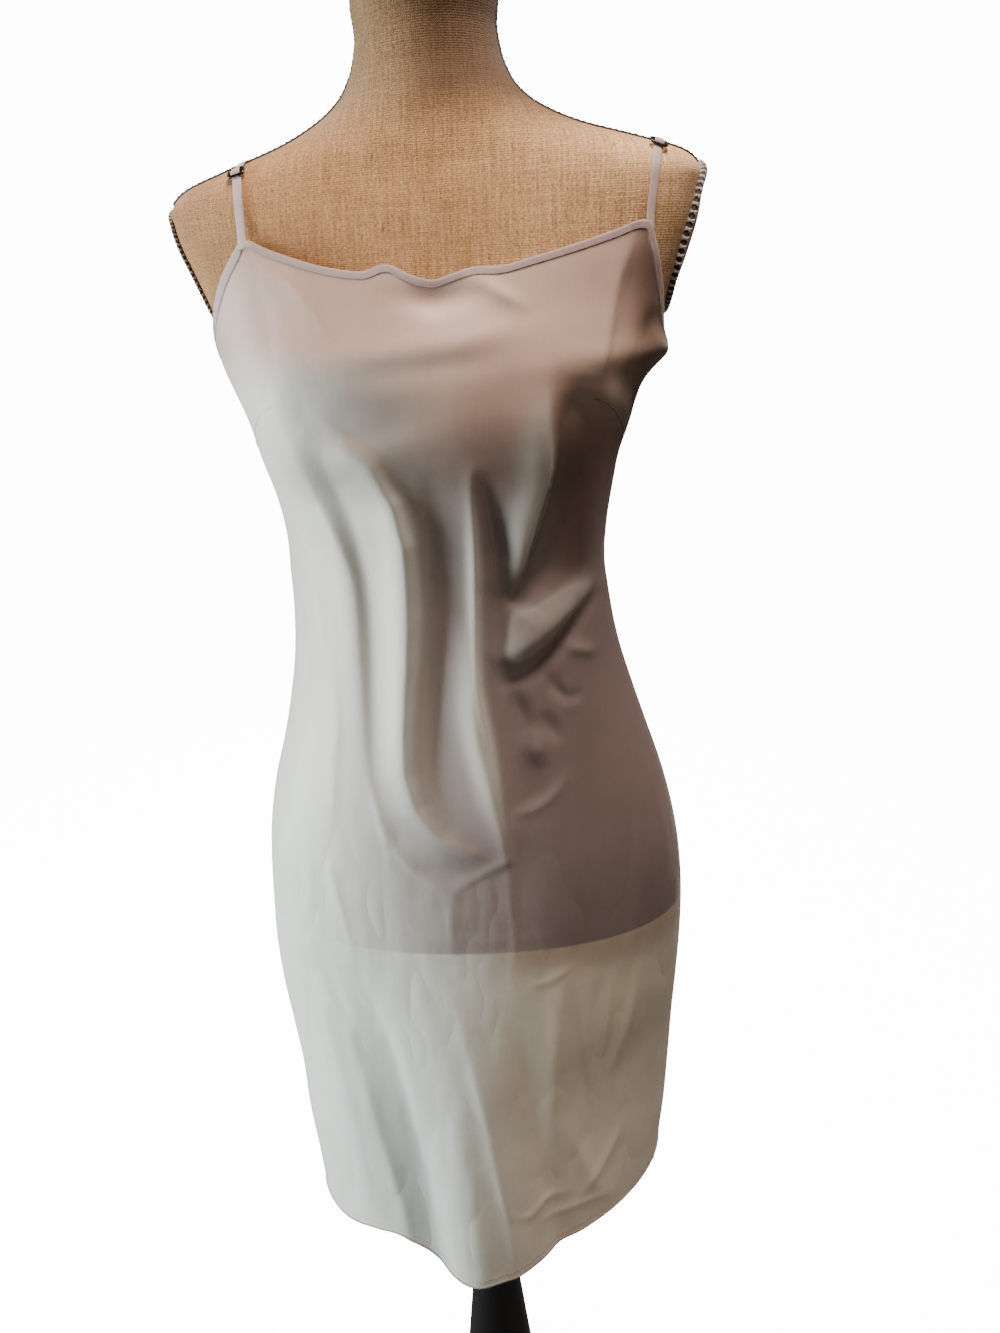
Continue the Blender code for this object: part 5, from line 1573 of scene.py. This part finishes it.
PLATE_HALF_WIDTH = 0.160
PLATE_HALF_DEPTH = 0.092
POLE_OUTLINE = (
    (0.0440, 0.8180), (0.0450, 0.8170), (0.0450, 0.8090), (0.0440, 0.8080), (0.0300, 0.8030),
    (0.0220, 0.7970), (0.0185, 0.7880), (0.0175, 0.7780), (0.0175, 0.6000), (0.0175, 0.4200),
    (0.0205, 0.3750), (0.0273, 0.3110), (0.0328, 0.2560), (0.0410, 0.1800), (0.0540, 0.1000),
    (0.0720, 0.0500), (0.0935, 0.0263), (0.0945, 0.0255),
)
BASE_OUTLINE = (
    (0.0960, 0.0252), (0.0985, 0.0249), (0.1280, 0.0172), (0.1510, 0.0125), (0.1565, 0.0108),
    (0.1595, 0.0072), (0.1600, 0.0040), (0.1600, 0.0012), (0.1590, 0.0002), (0.1580, 0.0),
)
PLATE_OUTLINE = (
    (0.60, 0.8267), (0.985, 0.8267), (0.996, 0.8262), (1.0, 0.8250), (1.0, 0.8200),
    (0.996, 0.8190), (0.985, 0.8187), (0.60, 0.8187),
)


def turned(name, outline, look, node_name, wide=1.0, deep=1.0, steps=96, between=4):
    """A turned piece: the outline, with even steps between its points, swept round the axis."""
    knots = np.array(outline)
    reach = np.concatenate([[0.0], np.cumsum(np.linalg.norm(np.diff(knots, axis=0), axis=1))])
    where = np.interp(np.arange((len(knots) - 1) * between + 1) / between, np.arange(len(knots)), reach)
    radius = np.interp(where, reach, knots[:, 0])
    z = np.interp(where, reach, knots[:, 1])
    turn = np.linspace(0.0, 2 * math.pi, steps, endpoint=False)
    points = np.stack([
        wide * radius[:, None] * np.cos(turn), deep * radius[:, None] * np.sin(turn),
        np.broadcast_to(z[:, None], (len(z), steps)),
    ], axis=-1)
    return belongs(rings(name, points, look), "stand_black", node_name)


turned("pole_and_foot", POLE_OUTLINE, PAINT, "stand_pole")
turned("round_base", BASE_OUTLINE, PAINT, "stand_base")
turned("plate_under_form", PLATE_OUTLINE, PAINT, "form_base_plate", PLATE_HALF_WIDTH, PLATE_HALF_DEPTH)

# --------------------------------------------------------------------------- floor, light and camera


STAGE_WHITE = 14.0  # the backdrop's and the floor's brightness to the camera
FLOOR_SHADE = 0.15  # the floor's tone to all else
FLOOR_RADII = (0.3, 2.0, 12.0)
FLOOR_SINK = 0.4 * MM  # how far the floor lies under the base


def white_stage_look(strength, shade):
    """A pale floor: bright to the camera, and duller in what it reflects onto the piece."""
    look, tree, shader, _ = new_look("pale_floor")
    fill(tree, shader, colour=colour(0.86, 0.86, 0.855), roughness=0.9, specular=0.1,
         glow=colour(1.0, 1.0, 1.0), glow_strength=strength)
    dull = node(tree, "ShaderNodeBsdfDiffuse", {"Color": colour(shade, shade * 0.97, shade * 0.93)})
    seen = node(tree, "ShaderNodeLightPath").outputs["Is Camera Ray"]
    both = node(tree, "ShaderNodeMixShader", {0: seen, 1: dull.outputs["BSDF"], 2: shader.outputs["BSDF"]})
    tree.links.new(both.outputs["Shader"], tree.nodes["Material Output"].inputs["Surface"])
    return look


def stage_floor():
    """A round floor, wide enough to reach the backdrop's brightness from any side."""
    turn = np.linspace(0.0, 2 * math.pi, 96, endpoint=False)
    radius = np.array(FLOOR_RADII)[:, None]
    points = np.stack([radius * np.cos(turn), radius * np.sin(turn), 0 * radius * turn - FLOOR_SINK], axis=-1)
    index = np.arange(points[..., 0].size).reshape(points.shape[:2])
    mesh = bpy.data.meshes.new("floor")
    mesh.from_pydata(points.reshape(-1, 3).tolist(), [], ring_quads(index).tolist() + [index[0].tolist()])
    mesh.materials.append(white_stage_look(STAGE_WHITE, FLOOR_SHADE))
    placed("floor", mesh)


def area_light(name, place, target, size, watts, tint):
    lamp = bpy.data.lights.new(name, "AREA")
    lamp.shape = "RECTANGLE"
    lamp.size, lamp.size_y = size
    lamp.energy = watts
    lamp.color = tint
    made = placed(name, lamp)
    made.location = place
    made.rotation_euler = (Vector(target) - Vector(place)).to_track_quat("-Z", "Y").to_euler()
    made.visible_camera = False


def room_light(seen_strength, fill_strength, tint):
    """The world: near white to the camera, and a dim warm fill for everything else."""
    world = bpy.data.worlds.new("studio")
    bpy.context.scene.world = world
    world.use_nodes = True
    tree = world.node_tree
    background = tree.nodes["Background"]
    background.inputs["Color"].default_value = colour(*tint)
    background.inputs["Strength"].default_value = fill_strength
    seen = node(tree, "ShaderNodeBackground", {"Color": colour(1.0, 1.0, 1.0), "Strength": seen_strength})
    camera_ray = node(tree, "ShaderNodeLightPath").outputs["Is Camera Ray"]
    both = node(tree, "ShaderNodeMixShader", {0: camera_ray, 1: background.outputs[0], 2: seen.outputs[0]})
    tree.links.new(both.outputs[0], tree.nodes["World Output"].inputs["Surface"])


def stage_camera():
    """The camera, from its turn, its downward tilt and its roll."""
    right = Vector((math.cos(CAMERA_TURN), math.sin(CAMERA_TURN), 0.0))
    ahead = Vector((-math.sin(CAMERA_TURN), math.cos(CAMERA_TURN), 0.0)) * math.cos(CAMERA_DOWN)
    ahead.z = -math.sin(CAMERA_DOWN)
    up = right.cross(ahead)
    turned_right = right * math.cos(CAMERA_ROLL) + up * math.sin(CAMERA_ROLL)
    turned_up = up * math.cos(CAMERA_ROLL) - right * math.sin(CAMERA_ROLL)
    data = bpy.data.cameras.new("camera")
    data.lens = CAMERA_LENS
    data.clip_start = 0.02
    camera = placed("camera", data)
    turn = Matrix((turned_right, turned_up, -ahead)).transposed().to_4x4()
    camera.matrix_world = Matrix.Translation(CAMERA_PLACE) @ turn
    bpy.context.scene.camera = camera


stage_floor()
room_light(STAGE_WHITE, 0.035, (1.0, 0.80, 0.66))
area_light("window", (-1.9, -0.40, 0.95), (0.0, 0.0, 0.90), (0.8, 1.6), 92.0, (0.91, 1.0, 0.99))
area_light("ceiling", (0.20, -0.32, 2.45), (0.0, -0.1, 1.3), (0.6, 0.6), 38.0, (1.0, 0.86, 0.74))
area_light("low card", (0.75, -0.75, 0.25), (0.05, 0.0, 0.60), (0.5, 0.5), 1.2, (1.0, 0.82, 0.62))
area_light("back card", (-0.5, 2.4, 1.5), (0.0, 0.0, 1.0), (1.2, 1.6), 30.0, (1.0, 0.95, 0.90))
area_light("lamp", (1.7, 0.9, 1.6), (0.0, 0.0, 1.3), (0.8, 1.4), 2.0, (1.0, 0.74, 0.58))
stage_camera()
